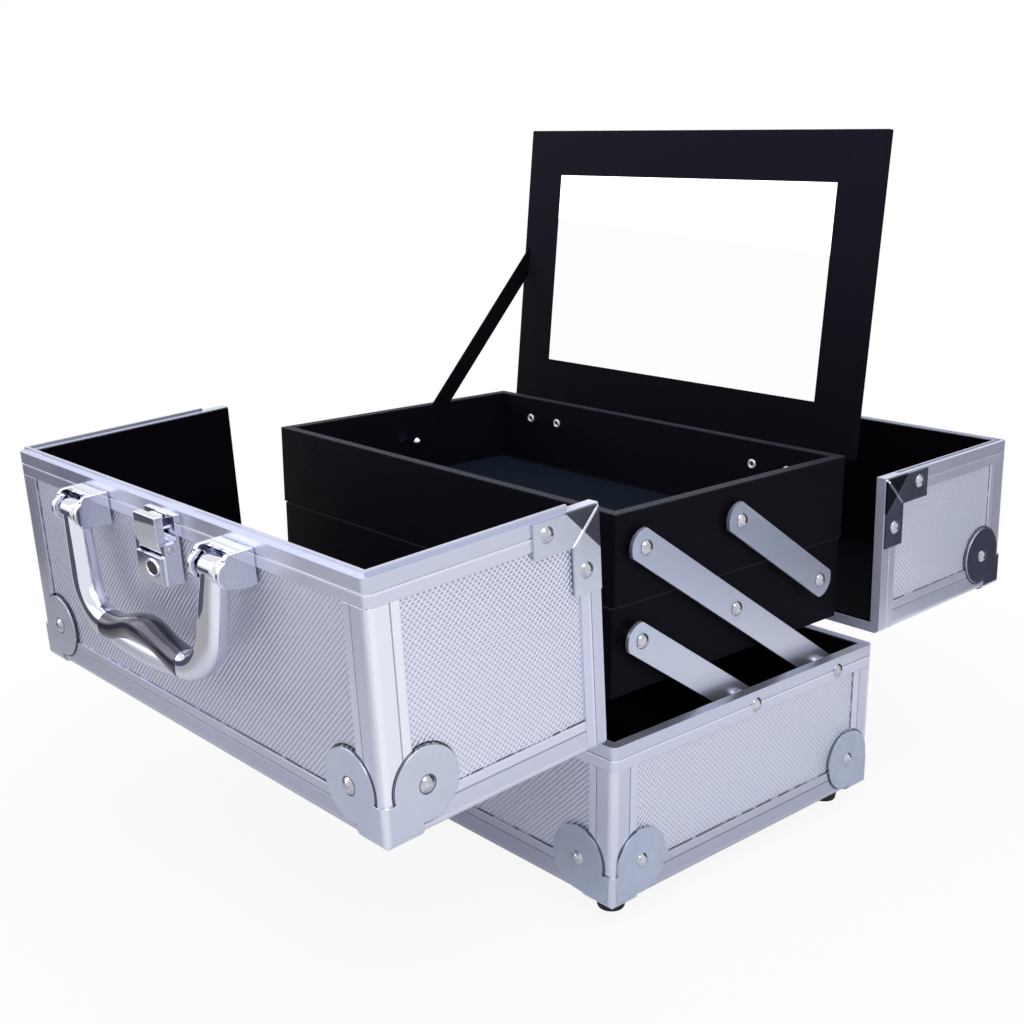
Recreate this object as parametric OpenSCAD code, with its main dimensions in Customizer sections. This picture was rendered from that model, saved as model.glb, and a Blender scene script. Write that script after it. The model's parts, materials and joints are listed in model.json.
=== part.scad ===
// Vanity box: a base box, two hinged upper shells, two cantilever trays and a mirror lid.
// X runs along the case, the front shell opens towards -Y and Z is up.
// The origin lies on the ground plane of the feet, under the middle of the open box.

/* [Case] */
// Length of the case over its end faces
case_l = 230; // [180:1:320]
// Width of the closed case, front face to rear face
case_w = 153; // [146:1:220]
// Height of the base box above its feet
base_h = 61.5; // [50:0.5:90]
// Height of each upper shell
shell_h = 93.6; // [92:0.2:130]
// Depth of the front shell, from its outer face to the split
front_depth = 86.4; // [70:0.2:100]
// Gap between rims when the case is closed
rim_gap = 0.4; // [0.2:0.1:1]
// Angle of the open front shell
front_open = 93.7; // [0:0.1:96]
// Angle of the open rear shell
rear_open = 88.6; // [0:0.1:92]

/* [Walls] */
// Thickness of a panel board with its patterned skin
panel_t = 3.4; // [2.4:0.1:5]
// Thickness of the lining
lining_t = 0.8; // [0.5:0.1:1.2]
// Thickness of the edge extrusions
edge_t = 0.8; // [0.6:0.1:1.2]
// Leg width of the edge extrusions
edge_leg = 12; // [9:0.5:13]
// Radius of the outer edges
edge_r = 2.5; // [1:0.1:4]
// Height of the rim bars
rim_h = 9.3; // [8:0.1:12]
// Height of the line along the rim bars, below their free edge
rim_line_drop = 4.6; // [3:0.1:6]
// Width and depth of that line
rim_line = 0.4; // [0.2:0.1:0.6]
// Distance of the lining's edge below the rims' free edges
lining_drop = 0.5; // [0.2:0.1:2]

/* [Corner guards and plates] */
// Sheet thickness of guards and plates
guard_t = 0.8; // [0.5:0.1:1.2]
// Radius of a guard's ears
guard_r = 12.5; // [10:0.5:14]
// Place of the ear on the base's end faces, along and up
base_end_ear = [14.4, 14.3];
// Place of the ear on the base's long faces, along and up
base_side_ear = [16.8, 14];
// Place of the ears on the shells, from either edge
shell_ear = 16.3; // [14:0.1:18]
// Width of a corner plate's legs
plate_w = 12; // [10:0.5:14]
// Length of a corner plate's legs
plate_leg = 29; // [27:0.5:34]
// Radius of a corner plate's outer corner
plate_r = 1.2; // [0.6:0.1:2.5]
// Width and height of the crease across a corner plate
crease = [0.7, 0.25];
// Rivet on the upright leg, from the split and from the hinge rim
plate_rivet_up = [5, 23.7];
// Rivet on the flat leg, from the split and from the hinge rim
plate_rivet_flat = [21.3, 7];
// Margin between a plate and the edges of the rims
plate_margin = 0.4; // [0.2:0.1:0.8]

/* [Rivets and feet] */
// Diameter of a rivet head
rivet_d = 5.8; // [5:0.1:6.4]
// Height of a rivet head
rivet_h = 1.5; // [1:0.1:2]
// Radius of a rivet shank
shank_r = 1.5; // [1.2:0.1:1.8]
// Radial clearance of shanks and pins
shank_gap = 0.06; // [0.03:0.01:0.1]
// Height of the rubber feet
foot_h = 8; // [5:0.5:12]
// Radius of a foot where it is seated
foot_r = 6; // [4.5:0.1:7]
// Taper of a foot's radius towards the ground
foot_taper = 1; // [0.4:0.1:1.5]
// Distance of a foot's axis from the faces
foot_inset = 12; // [10:0.5:16]

/* [Shell hinges] */
// Distance of the hinge axis outside the faces
hinge_out = 3; // [2.8:0.1:4]
// Radius of the knuckles
knuckle_r = 2.2; // [1.8:0.1:2.5]
// Radius of the hinge pins
hinge_pin_r = 1; // [0.8:0.1:1.2]
// Length of a hinge
hinge_l = 28; // [20:1:40]
// Distance of the middle of a hinge from the case's end
hinge_in = 55; // [35:1:70]
// Height of a hinge leaf
leaf_h = 6.4; // [5:0.1:6.6]
// Thickness of a hinge leaf
leaf_t = 1.2; // [0.8:0.1:1.4]
// Length of the middle knuckle
knuckle_mid = 9; // [7:0.5:12]
// Gap between knuckles and around them
knuckle_gap = 0.3; // [0.2:0.1:0.5]

/* [Trays] */
// Room between a tray's ends and the end walls, for the arms
tray_room = 7.5; // [7.2:0.1:9]
// Width of the trays
tray_w = 132; // [120:1:136]
// Distance of the trays' middle behind the middle of the case
tray_shift = 1.6; // [0:0.1:1.8]
// Height of a tray
tray_h = 34; // [30:0.5:36]
// Height of the upper tray's top edge above the base rim
tray_rise = 78.3; // [74:0.1:79]
// Wall thickness of the trays
tray_wall = 4; // [3:0.1:5]
// Floor thickness of the trays
tray_floor = 3; // [2:0.1:5]
// Gap between the stacked trays
tray_gap = 0.4; // [0.3:0.1:0.8]
// Inset of the lower tray at its ends
lower_inset = 1; // [0:0.1:1.4]
// Thickness of the pad in the upper tray
pad_t = 1.6; // [1:0.1:3]
// Margin around that pad
pad_margin = 9; // [2:0.5:15]

/* [Lift arms] */
// Slope of the arms at rest
arm_tilt = 34; // [32:0.5:37]
// Width of an arm
arm_w = 12; // [9:0.5:13]
// Thickness of an arm
arm_t = 1.5; // [1:0.1:2]
// Radius of an arm's rounded ends
arm_end_r = 7.2; // [6.6:0.1:8]
// Distance of the pivots below a tray's top edge
pivot_drop = 13.2; // [12:0.1:15]
// Distance of the base pivots below the rim
base_pivot_drop = 5.7; // [4:0.1:6.2]
// Place of the upper tray's front pivot, in front of the middle of the case
front_pivot = 52.3; // [48:0.1:54]
// Distance between an upper or lower pair's front and rear pivots
pivot_pitch = 51.6; // [44:0.1:54]
// Gap between an arm and its spacers
arm_gap = 0.2; // [0.15:0.05:0.3]
// Distance of the arms' outer face from the end walls inside
arm_clear = 3.9; // [3.4:0.1:4.4]
// Radius of a pivot spacer
spacer_r = 3.8; // [3:0.1:4]
// Radius and thickness of the clinched rivet ends
clinch = [2.7, 1];

/* [Mirror lid] */
// Inset of the lid at the tray's ends
lid_inset = 1.5; // [0.5:0.1:5]
// Depth of the lid
lid_w = 130.2; // [112:0.2:131]
// Thickness of each of the lid's two layers
lid_layer = 1.6; // [1.4:0.1:1.8]
// Gap under the closed lid
lid_gap = 0.3; // [0.2:0.1:0.6]
// Angle of the open lid
lid_open = 95.4; // [0:0.1:96]
// Width of the lid frame either side of the mirror
mirror_side = 21.5; // [15:0.5:30]
// Width of the lid frame below and above the mirror
mirror_ends = [21.3, 20.7];
// Recess of the mirror in the frame
mirror_recess = 0.4; // [0.2:0.1:0.6]
// Distance of the lid's hinge axis behind the tray
lid_hinge_out = 1.9; // [1.8:0.1:2]
// Distance of that axis below the tray's top edge
lid_hinge_drop = 4.7; // [4.5:0.1:7]
// Radius of the lid's knuckles
lid_knuckle_r = 1.5; // [1.4:0.1:1.5]
// Radius of the lid's hinge pins
lid_pin_r = 0.7; // [0.6:0.05:0.8]
// Thickness of the lid's hinge leaves
lid_leaf_t = 0.8; // [0.6:0.1:0.8]
// Distance of the middle of a lid hinge from the tray's end
lid_hinge_in = 34.1; // [16:0.1:50]
// Depth of the leaf over the lid's back
lid_leaf_back = 13; // [9:0.5:18]
// Half the distance between a leaf's rivets
leaf_rivet_x = 9.1; // [7:0.1:10]
// Distance of the leaf rivets below the hinge axis
leaf_rivet_drop = 5.2; // [3.8:0.1:5.6]
// Head and hole radius of a tubular leaf rivet
eyelet = [2, 0.8];

/* [Lid strap] */
// Width of the strap
strap_w = 8; // [5:0.5:10]
// Thickness of the strap
strap_t = 0.8; // [0.5:0.1:1.2]
// Lower end, behind the middle of the case and below the tray's top edge
strap_low = [8, 17];
// Height of the strap's upper end up the lid
strap_up = 68; // [50:1:75]

/* [Handle] */
// Place of the brackets either side of the middle
handle_x = 48.5; // [40:0.5:55]
// Width of a bracket
bracket_w = 19; // [17:0.5:22]
// Length of a bracket, away from the split
bracket_l = 12.5; // [11:0.5:14]
// Distance of a bracket from the split
bracket_in = 2.7; // [2:0.1:4]
// Thickness of a bracket's cheeks and hood
bracket_t = 2; // [1.6:0.1:2.2]
// Thickness of a bracket's base
bracket_base = 1.6; // [1.2:0.1:2]
// Height of the handle's pivot above the wall
handle_pivot_h = 9; // [8.6:0.1:10]
// Distance of the handle's pivot from the split
handle_pivot_in = 9.5; // [9.2:0.1:10.5]
// Radius of the pivot bosses
boss_r = 4.2; // [3.6:0.1:4.3]
// Radius of the bail
bail_r = 5.2; // [4.4:0.1:5.4]
// Step between the bail's elbows and its arms
bail_taper = 0.4; // [0.3:0.1:0.8]
// Straight reach of the bail, pivot to elbow
bail_reach = 24; // [20:0.5:30]
// Lean of the bail's arms
bail_lean = 11.3; // [0:0.1:15]
// Radius of the bail's elbows
elbow_r = 17.5; // [14:0.5:22]
// Rise of the grip's middle above its ends
grip_rise = 5; // [0:0.5:8]
// Half depth and half height of the grip
grip_half = [5.2, 4.8];

/* [Lock] */
// Width of the lock
lock_w = 20; // [16:0.5:24]
// Length of the lock, away from the split
lock_l = 24; // [22:0.5:28]
// Distance of the lock from the split
lock_in = 2; // [1.6:0.1:3]
// Thickness of the lock's base plate
lock_base = 1.2; // [0.8:0.1:1.6]
// Height of the lock above the wall
lock_h = 7; // [6.6:0.1:9]
// Place of the latch pivot, from the split and above the wall
latch_pivot = [13.5, 3.8];
// Radius of the latch barrel
latch_r = 2.2; // [1.8:0.1:2.2]
// Radius of the latch's trunnions
trunnion_r = 1.1; // [0.8:0.1:1.2]
// Width of the latch
latch_w = 14.6; // [12:0.1:15]
// Distance of the keyhole from the split
keyhole_in = 20.5; // [19:0.1:21.5]
// Length and height of the keyhole
keyhole = [6, 3.2];

/* [Hidden] */
$fn = 48;
over = 1;

// Levels and half sizes of the case
half_l = case_l / 2;
half_w = case_w / 2;
wall_t = edge_t + panel_t + lining_t;
skin_in = edge_t + panel_t;
rim_z = foot_h + base_h;
rim_low = rim_z - rim_h;
floor_low = foot_h + edge_t;
floor_top = floor_low + panel_t;
rear_depth = case_w - front_depth - rim_gap;
hinge_x = half_l - hinge_in;

// Seal lip along the split rim of the front shell, and its groove in the rear shell
lip_in = 2;
lip_t = 1.2;
lip_h = 1.5;
lip_gap = 0.3;

// Nose of the latch, and its distance past the lock plate's edge
nose_w = 7;
nose_t = 1.8;
nose_in = 0.5;

// Tongue of the strike, its gap over the lock plate, and the play of the nose in its slot
tongue_t = 1.2;
tongue_gap = 0.2;
slot_gap = 0.7;

// Slope at the back of the latch flap, for its swing past the case
flap_back = 1.8;

// Slope of the lock case's flanks
lock_slope = 1.8;

// Length of a lid leaf past its rivets
lid_leaf_past = 5.6;

// Wall of a tubular rivet
eyelet_wall = 0.4;

// Head of the strap's rivet
strap_rivet_d = 4.8;

// Rings along the grip and sides around it
grip_rings = 24;
grip_sides = 20;

// Guard necks reach this share of the way to the ear's centre
neck_share = 0.85;

// Levels of the trays and the pivots
upper_top = rim_z + tray_rise;
upper_low = upper_top - tray_h + tray_gap;
lower_top = upper_top - tray_h;
lower_low = lower_top - tray_h + tray_gap;
tray_half = half_l - wall_t - tray_room;
tray_front = tray_shift - tray_w / 2;
tray_rear = tray_shift + tray_w / 2;
upper_span = tray_h / sin(arm_tilt);
base_span = (lower_top - pivot_drop - rim_z + base_pivot_drop) / sin(arm_tilt);
top_pivot = [-front_pivot, upper_top - pivot_drop];
mid_pivot = top_pivot + upper_span * [cos(arm_tilt), -sin(arm_tilt)];
base_pivot = mid_pivot + base_span * [cos(arm_tilt), -sin(arm_tilt)];
lower_half = tray_half - lower_inset;
lower_pivots = [mid_pivot, mid_pivot - [pivot_pitch, 0], mid_pivot + [pivot_pitch, 0]];
upper_pivots = [top_pivot, top_pivot + [pivot_pitch, 0]];
arm_out = half_l - wall_t - arm_clear;
arm_in = arm_out - arm_t;

// Half length, axis and levels of the mirror lid, closed
lid_half = tray_half - lid_inset;
lid_hinge_x = tray_half - lid_hinge_in;
lid_axis = [tray_rear + lid_hinge_out, upper_top - lid_hinge_drop];
lid_rear = tray_rear + lid_gap;
lid_low = upper_top + lid_gap;
lid_mid = lid_low + lid_layer;
lid_top = lid_mid + lid_layer;
lid_leaf_l = 2 * (leaf_rivet_x + lid_leaf_past);
lid_knuckle_mid = knuckle_mid;

// Axis of the handle, at rest
handle_dir = [cos(front_open), sin(front_open)];
handle_in_shell = [
    front_depth - handle_pivot_in + hinge_out,
    shell_h + handle_pivot_h + rim_gap
];
handle_axis = [
    -half_w - hinge_out + handle_in_shell.x * handle_dir.x - handle_in_shell.y * handle_dir.y,
    rim_z + handle_in_shell.x * handle_dir.y + handle_in_shell.y * handle_dir.x
];
elbow_x = handle_x - bail_reach * sin(bail_lean);
elbow_z = -bail_reach * cos(bail_lean);
grip_half_l = elbow_x - elbow_r * cos(bail_lean);
grip_z = elbow_z + elbow_r * sin(bail_lean) - elbow_r;

// Middle of the whole open box from front to rear, behind the middle of the base:
// it reaches from the grip to the heads of the rear shell's top rivets
rear_reach = half_w + hinge_out - (shell_ear + hinge_out) * cos(rear_open)
    + (shell_h + guard_t + rivet_h + rim_gap) * sin(rear_open);
front_reach = grip_half.x - handle_axis.x;
origin_y = (rear_reach - front_reach) / 2;

module block(lo, hi) {
    translate(lo) cube(hi - lo);
}

module both_x() {
    children();
    mirror([1, 0, 0]) children();
}

module both_y() {
    children();
    mirror([0, 1, 0]) children();
}

// Square about its middle with round corners
module round_square(size, r) {
    square([size.x - 2 * r, size.y], center = true);
    square([size.x, size.y - 2 * r], center = true);
    for (sx = [-1, 1], sy = [-1, 1])
        translate([sx * (size.x / 2 - r), sy * (size.y / 2 - r)]) circle(r);
}

// Block with all its edges rounded, as the common part of three rounded prisms
module soft_block(lo, hi, r) {
    size = hi - lo;
    mid = (hi + lo) / 2;
    intersection() {
        translate([mid.x, mid.y, lo.z])
            linear_extrude(size.z) round_square([size.x, size.y], r);
        translate([lo.x, mid.y, mid.z]) rotate([90, 0, 90])
            linear_extrude(size.x) round_square([size.y, size.z], r);
        translate([mid.x, hi.y, mid.z]) rotate([90, 0, 0])
            linear_extrude(size.y) round_square([size.x, size.z], r);
    }
}

// Outline in the plane of Y and Z, carried along X from x0 over a length
module along_x(x0, length) {
    translate([x0, 0, 0]) rotate([90, 0, 90]) linear_extrude(length) children();
}

// Round bar along X
module bar_x(x0, y, z, r, length) {
    translate([x0, y, z]) rotate([0, 90, 0]) cylinder(h = length, r = r);
}

// Domed head seated at Z = 0
module dome(d, h) {
    ball = (d * d / 4 + h * h) / (2 * h);
    intersection() {
        translate([0, 0, h - ball]) sphere(ball);
        cylinder(h = h + over, r = d);
    }
}

// Rivet seated at Z = 0 with its shank below
module rivet(depth) {
    dome(rivet_d, rivet_h);
    translate([0, 0, -depth]) cylinder(h = depth + rivet_h / 2, r = shank_r);
}

// Moves the pieces that are laid out about the base's middle
module in_base() {
    translate([0, -origin_y, 0]) children();
}

// Moves a closed front shell's pieces to where the open shell is
module in_front_shell() {
    translate([0, -half_w - hinge_out - origin_y, rim_z]) rotate([front_open, 0, 0])
        translate([0, hinge_out, rim_gap]) children();
}

// Moves a closed rear shell's pieces to where the open shell is
module in_rear_shell() {
    translate([0, half_w + hinge_out - origin_y, rim_z]) rotate([-rear_open, 0, 0])
        mirror([0, 1, 0]) translate([0, hinge_out, rim_gap]) children();
}

// Moves the closed lid's pieces to where the open lid is
module in_lid() {
    translate([0, lid_axis.x - origin_y, lid_axis.y]) rotate([-lid_open, 0, 0])
        translate([0, -lid_axis.x, -lid_axis.y]) children();
}

// Ear with a neck that runs into the corner
module ear(at) {
    translate(at) circle(guard_r);
    translate([-guard_t, -guard_t]) square(at * neck_share + [guard_t, guard_t]);
}

// Pressed guard on a corner at the origin, with the corner's body at +X +Y +Z
module corner_guard(end_ear, side_ear, flat_ear) {
    reach = side_ear.x + guard_r + 2 * edge_r + over;
    difference() {
        intersection() {
            difference() {
                soft_block(-guard_t * [1, 1, 1], reach * [1, 1, 1], edge_r + guard_t);
                soft_block([0, 0, 0], (reach + over) * [1, 1, 1], edge_r);
            }
            union() {
                along_x(-guard_t, edge_r + guard_t) ear(end_ear);
                translate([0, edge_r, 0]) rotate([90, 0, 0])
                    linear_extrude(edge_r + guard_t) ear(side_ear);
                translate([0, 0, -guard_t]) linear_extrude(edge_r + guard_t) ear(flat_ear);
            }
        }
        bar_x(-over, end_ear.x, end_ear.y, shank_r + shank_gap, 2 * over);
        translate([side_ear.x, over, side_ear.y]) rotate([90, 0, 0])
            cylinder(h = 2 * over, r = shank_r + shank_gap);
        translate([flat_ear.x, flat_ear.y, -over]) cylinder(h = 2 * over, r = shank_r + shank_gap);
    }
}

// Rivets of a guard on its end face and its side face
module ear_rivets(end_ear, side_ear) {
    depth = guard_t + edge_t;
    translate([-guard_t, end_ear.x, end_ear.y]) rotate([0, -90, 0]) rivet(depth);
    translate([side_ear.x, -guard_t, side_ear.y]) rotate([90, 0, 0]) rivet(depth);
}

// Hinge leaf with its knuckles: the plate hangs below the axis on the rear face
module outer_leaf() {
    side = (hinge_l - knuckle_mid) / 2 - knuckle_gap;
    plate_top = -knuckle_r - knuckle_gap;
    difference() {
        union() {
            translate([-hinge_l / 2, 0, plate_top - leaf_h]) cube([hinge_l, leaf_t, leaf_h]);
            both_x() translate([hinge_l / 2 - side, 0, 0]) {
                translate([0, 0, plate_top - leaf_h]) cube([side, leaf_t, leaf_h - plate_top]);
                bar_x(0, hinge_out, 0, knuckle_r, side);
            }
        }
        bar_x(-hinge_l, hinge_out, 0, hinge_pin_r + shank_gap, 2 * hinge_l);
    }
}

// Hinge leaf with the middle knuckle: the plate stands above the axis on the face at Y = 0
module inner_leaf() {
    plate_low = knuckle_r + knuckle_gap;
    difference() {
        union() {
            translate([-hinge_l / 2, -leaf_t, plate_low]) cube([hinge_l, leaf_t, leaf_h]);
            translate([-knuckle_mid / 2, -leaf_t, 0])
                cube([knuckle_mid, leaf_t, plate_low + leaf_h]);
            bar_x(-knuckle_mid / 2, -hinge_out, 0, knuckle_r, knuckle_mid);
        }
        bar_x(-hinge_l, -hinge_out, 0, hinge_pin_r + shank_gap, 2 * hinge_l);
    }
}

module shell_outer_panel() {
    block([-half_l + edge_t, edge_t, rim_h], [half_l - edge_t, skin_in, shell_h - edge_t]);
}

module shell_top_panel(depth) {
    block([-half_l + edge_t, skin_in, shell_h - skin_in],
        [half_l - edge_t, depth - rim_h, shell_h - edge_t]);
}

module shell_end_panels(depth) {
    both_x() block([half_l - skin_in, skin_in, rim_h],
        [half_l - edge_t, depth - rim_h, shell_h - skin_in]);
}

module shell_lining(depth) {
    difference() {
        block([-half_l + skin_in, skin_in, lining_drop],
            [half_l - skin_in, depth - lining_drop, shell_h - skin_in]);
        block([-half_l + wall_t, wall_t, -over],
            [half_l - wall_t, depth + over, shell_h - wall_t]);
    }
}

// Rim along the hinge side, mitred against the split rim at its two ends
module shell_hinge_rim(depth) {
    difference() {
        translate([0, depth / 2 + edge_leg / 2, 0]) linear_extrude(rim_h)
            round_square([case_l, depth + edge_leg], edge_r);
        block([-half_l + skin_in, skin_in, -over],
            [half_l - skin_in, depth + edge_leg + over, rim_h + over]);
        along_x(-case_l, 2 * case_l) polygon([
            [depth, 0], [depth - rim_h, rim_h], [depth - rim_h, rim_h + over],
            [depth + edge_leg + over, rim_h + over], [depth + edge_leg + over, -over], [depth, -over]
        ]);
        difference() {
            block([-half_l - over, -over, rim_line_drop],
                [half_l + over, depth + over, rim_line_drop + rim_line]);
            block([-half_l + rim_line, rim_line, 0], [half_l - rim_line, depth + edge_leg, rim_h]);
        }
    }
}

// Rim along the split, mitred against the hinge rim at its two ends
module shell_split_rim(depth) {
    difference() {
        translate([0, depth, shell_h / 2 - edge_leg / 2]) rotate([90, 0, 0])
            linear_extrude(rim_h) round_square([case_l, shell_h + edge_leg], edge_r);
        block([-half_l + skin_in, depth - rim_h - over, -edge_leg - over],
            [half_l - skin_in, depth + over, shell_h - skin_in]);
        along_x(-case_l, 2 * case_l) polygon([
            [depth, 0], [depth - rim_h, rim_h], [depth - rim_h - over, rim_h],
            [depth - rim_h - over, -edge_leg - over], [depth + over, -edge_leg - over], [depth + over, 0]
        ]);
        difference() {
            block([-half_l - over, depth - rim_line_drop - rim_line, -over],
                [half_l + over, depth - rim_line_drop, shell_h + over]);
            block([-half_l + rim_line, 0, -edge_leg], [half_l - rim_line, depth, shell_h - rim_line]);
        }
    }
}

// Band that follows the split rim, from one inset to another
module split_band(inset, width, y0, y1) {
    difference() {
        block([-half_l + inset, y0, plate_w], [half_l - inset, y1, shell_h - inset]);
        block([-half_l + inset + width, y0 - over, plate_w - over],
            [half_l - inset - width, y1 + over, shell_h - inset - width]);
    }
}

// Five angle extrusions along a shell's outer edges
module shell_edge_frame(depth) {
    difference() {
        intersection() {
            soft_block([-half_l, 0, -edge_leg], [half_l, depth + edge_leg, shell_h], edge_r);
            block([-case_l, -over, rim_h], [case_l, depth - rim_h, shell_h + over]);
        }
        block([-half_l + edge_t, edge_t, 0], [half_l - edge_t, depth, shell_h - edge_t]);
        block([-half_l + edge_leg, -over, 0], [half_l - edge_leg, edge_t + over, shell_h - edge_leg]);
        block([-half_l + edge_leg, edge_leg, shell_h - edge_t - over],
            [half_l - edge_leg, depth, shell_h + over]);
        block([-case_l, edge_leg, 0], [case_l, depth, shell_h - edge_leg]);
        both_x() block([half_l - edge_leg, -over, shell_h - edge_leg],
            [half_l + over, edge_leg, shell_h + over]);
    }
}

// Places a canonical corner at both outer corners of a shell
module shell_corners() {
    both_x() translate([half_l, 0, shell_h]) mirror([1, 0, 0]) mirror([0, 0, 1]) children();
}

module shell_guards() {
    at = [shell_ear, shell_ear];
    shell_corners() corner_guard(at, at, at);
}

// Outline of a corner plate, with the split at X = 0 and the hinge rim at Y = 0
module plate_outline() {
    intersection() {
        translate([plate_r, plate_r]) circle(plate_r);
        square([plate_w, plate_w]);
    }
    translate([plate_r, 0]) square([plate_leg - plate_r, plate_w]);
    translate([0, plate_r]) square([plate_w, plate_leg - plate_r]);
}

module shell_plates(depth) {
    crease_l = sqrt(2) * (plate_w - plate_r);
    both_x() difference() {
        translate([0, depth - plate_margin, plate_margin]) mirror([0, 1, 0]) {
            along_x(half_l, guard_t) plate_outline();
            translate([half_l, plate_r, plate_r]) rotate([45, 0, 0]) translate([0, 0, -crease.x / 2])
                cube([guard_t + crease.y, crease_l, crease.x]);
        }
        for (at = [plate_rivet_up, plate_rivet_flat])
            bar_x(half_l - over, depth - at.x, at.y, shank_r + shank_gap, guard_t + 2 * over);
    }
}

module shell_rivets(depth) {
    at = [shell_ear, shell_ear];
    shell_corners() {
        ear_rivets(at, at);
        translate([shell_ear, shell_ear, -guard_t]) rotate([180, 0, 0]) rivet(guard_t + edge_t);
    }
    both_x() for (at = [plate_rivet_up, plate_rivet_flat])
        translate([half_l + guard_t, depth - at.x, at.y]) rotate([0, 90, 0]) rivet(guard_t);
}

module shell_hinge_leaves() {
    both_x() translate([hinge_x, 0, -rim_gap]) inner_leaf();
}

module shell_hinge_pins() {
    both_x() bar_x(hinge_x - hinge_l / 2, -hinge_out, -rim_gap, hinge_pin_r, hinge_l);
}

// Base box

module base_floor() {
    color("dimgray") in_base() block([-half_l + edge_t, -half_w + edge_t, floor_low],
        [half_l - edge_t, half_w - edge_t, floor_top]);
}

module base_front_panel() {
    color("lightsteelblue") in_base() block([-half_l + edge_t, -half_w + edge_t, floor_top],
        [half_l - edge_t, -half_w + skin_in, rim_low]);
}

module base_rear_panel() {
    color("lightsteelblue") in_base() block([-half_l + edge_t, half_w - skin_in, floor_top],
        [half_l - edge_t, half_w - edge_t, rim_low]);
}

module base_end_panels() {
    color("lightsteelblue") in_base() both_x() block([half_l - skin_in, -half_w + skin_in, floor_top],
        [half_l - edge_t, half_w - skin_in, rim_low]);
}

// Bores of the lower pivots through the base's end walls
module base_pivot_bores() {
    both_x() for (y = [base_pivot.x, base_pivot.x - pivot_pitch])
        bar_x(half_l - wall_t - over, y, base_pivot.y, shank_r + shank_gap, wall_t + 2 * over);
}

module base_lining() {
    color("#15131a") in_base() difference() {
        block([-half_l + skin_in, -half_w + skin_in, floor_top],
            [half_l - skin_in, half_w - skin_in, rim_z - lining_drop]);
        block([-half_l + wall_t, -half_w + wall_t, floor_top + lining_t],
            [half_l - wall_t, half_w - wall_t, rim_z + over]);
        base_pivot_bores();
    }
}

module base_rim_frame() {
    line_z = rim_z - rim_line_drop;
    color("silver") in_base() difference() {
        translate([0, 0, rim_low]) linear_extrude(rim_h) round_square([case_l, case_w], edge_r);
        block([-half_l + skin_in, -half_w + skin_in, rim_low - over],
            [half_l - skin_in, half_w - skin_in, rim_z + over]);
        difference() {
            block([-half_l - over, -half_w - over, line_z - rim_line],
                [half_l + over, half_w + over, line_z]);
            block([-half_l + rim_line, -half_w + rim_line, rim_low],
                [half_l - rim_line, half_w - rim_line, rim_z]);
        }
        base_pivot_bores();
    }
}

module base_corner_posts() {
    color("silver") in_base() difference() {
        translate([0, 0, foot_h + edge_leg]) linear_extrude(base_h - rim_h - edge_leg)
            round_square([case_l, case_w], edge_r);
        block([-half_l + edge_t, -half_w + edge_t, 0], [half_l - edge_t, half_w - edge_t, rim_z]);
        block([-half_l + edge_leg, -case_w, 0], [half_l - edge_leg, case_w, rim_z]);
        block([-case_l, -half_w + edge_leg, 0], [case_l, half_w - edge_leg, rim_z]);
    }
}

// Four angle extrusions around the bottom, with their ends under the guards
module base_bottom_frame() {
    color("silver") in_base() difference() {
        intersection() {
            soft_block([-half_l, -half_w, foot_h], [half_l, half_w, rim_z], edge_r);
            block([-case_l, -case_w, 0], [case_l, case_w, foot_h + edge_leg]);
        }
        block([-half_l + edge_t, -half_w + edge_t, floor_low], [half_l - edge_t, half_w - edge_t, rim_z]);
        block([-half_l + edge_leg, -half_w + edge_leg, 0], [half_l - edge_leg, half_w - edge_leg, rim_z]);
        both_x() both_y() block([half_l - edge_leg, half_w - edge_leg, 0], [case_l, case_w, rim_z]);
    }
}

// Places a canonical corner at the base's four bottom corners
module base_corners() {
    both_x() both_y() translate([half_l, -half_w, foot_h]) mirror([1, 0, 0]) children();
}

module base_corner_guards() {
    color("gainsboro") in_base() base_corners() corner_guard(base_end_ear, base_side_ear,
        [base_side_ear.x, base_end_ear.x]);
}

module base_guard_rivets() {
    color("white") in_base() base_corners() ear_rivets(base_end_ear, base_side_ear);
}

module base_feet() {
    color("#202024") in_base() both_x() both_y() translate([half_l - foot_inset, half_w - foot_inset, 0])
        cylinder(h = foot_h - guard_t, r1 = foot_r - foot_taper, r2 = foot_r);
}

module base_hinge_leaves() {
    color("silver") in_base() both_y() both_x() translate([hinge_x, half_w, rim_z]) outer_leaf();
}

// Pivot rivets in the base rim, with a spacer and a clinched end either side of the arm
module arm_base_rivets() {
    inner = half_l - wall_t;
    color("white") in_base() both_x() for (y = [base_pivot.x, base_pivot.x - pivot_pitch]) {
        translate([half_l, y, base_pivot.y]) rotate([0, 90, 0]) dome(rivet_d, rivet_h);
        bar_x(arm_in - arm_gap - clinch.y / 2, y, base_pivot.y, shank_r,
            half_l + rivet_h / 2 - arm_in + arm_gap + clinch.y / 2);
        bar_x(arm_out + arm_gap, y, base_pivot.y, spacer_r, inner - arm_out - arm_gap);
        bar_x(arm_in - arm_gap - clinch.y, y, base_pivot.y, clinch.x, clinch.y);
    }
}

// Front shell

module front_handle_panel() {
    color("lightsteelblue") in_front_shell() shell_top_panel(front_depth);
}

module front_outer_panel() {
    color("lightsteelblue") in_front_shell() shell_outer_panel();
}

module front_end_panels() {
    color("lightsteelblue") in_front_shell() shell_end_panels(front_depth);
}

module front_lining() {
    color("#15131a") in_front_shell() shell_lining(front_depth);
}

module front_split_rim() {
    color("silver") in_front_shell() {
        shell_split_rim(front_depth);
        split_band(lip_in, lip_t, front_depth - over, front_depth + lip_h);
    }
}

module front_hinge_rim() {
    color("silver") in_front_shell() shell_hinge_rim(front_depth);
}

module front_edge_frame() {
    color("silver") in_front_shell() shell_edge_frame(front_depth);
}

module front_corner_guards() {
    color("gainsboro") in_front_shell() shell_guards();
}

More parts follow.
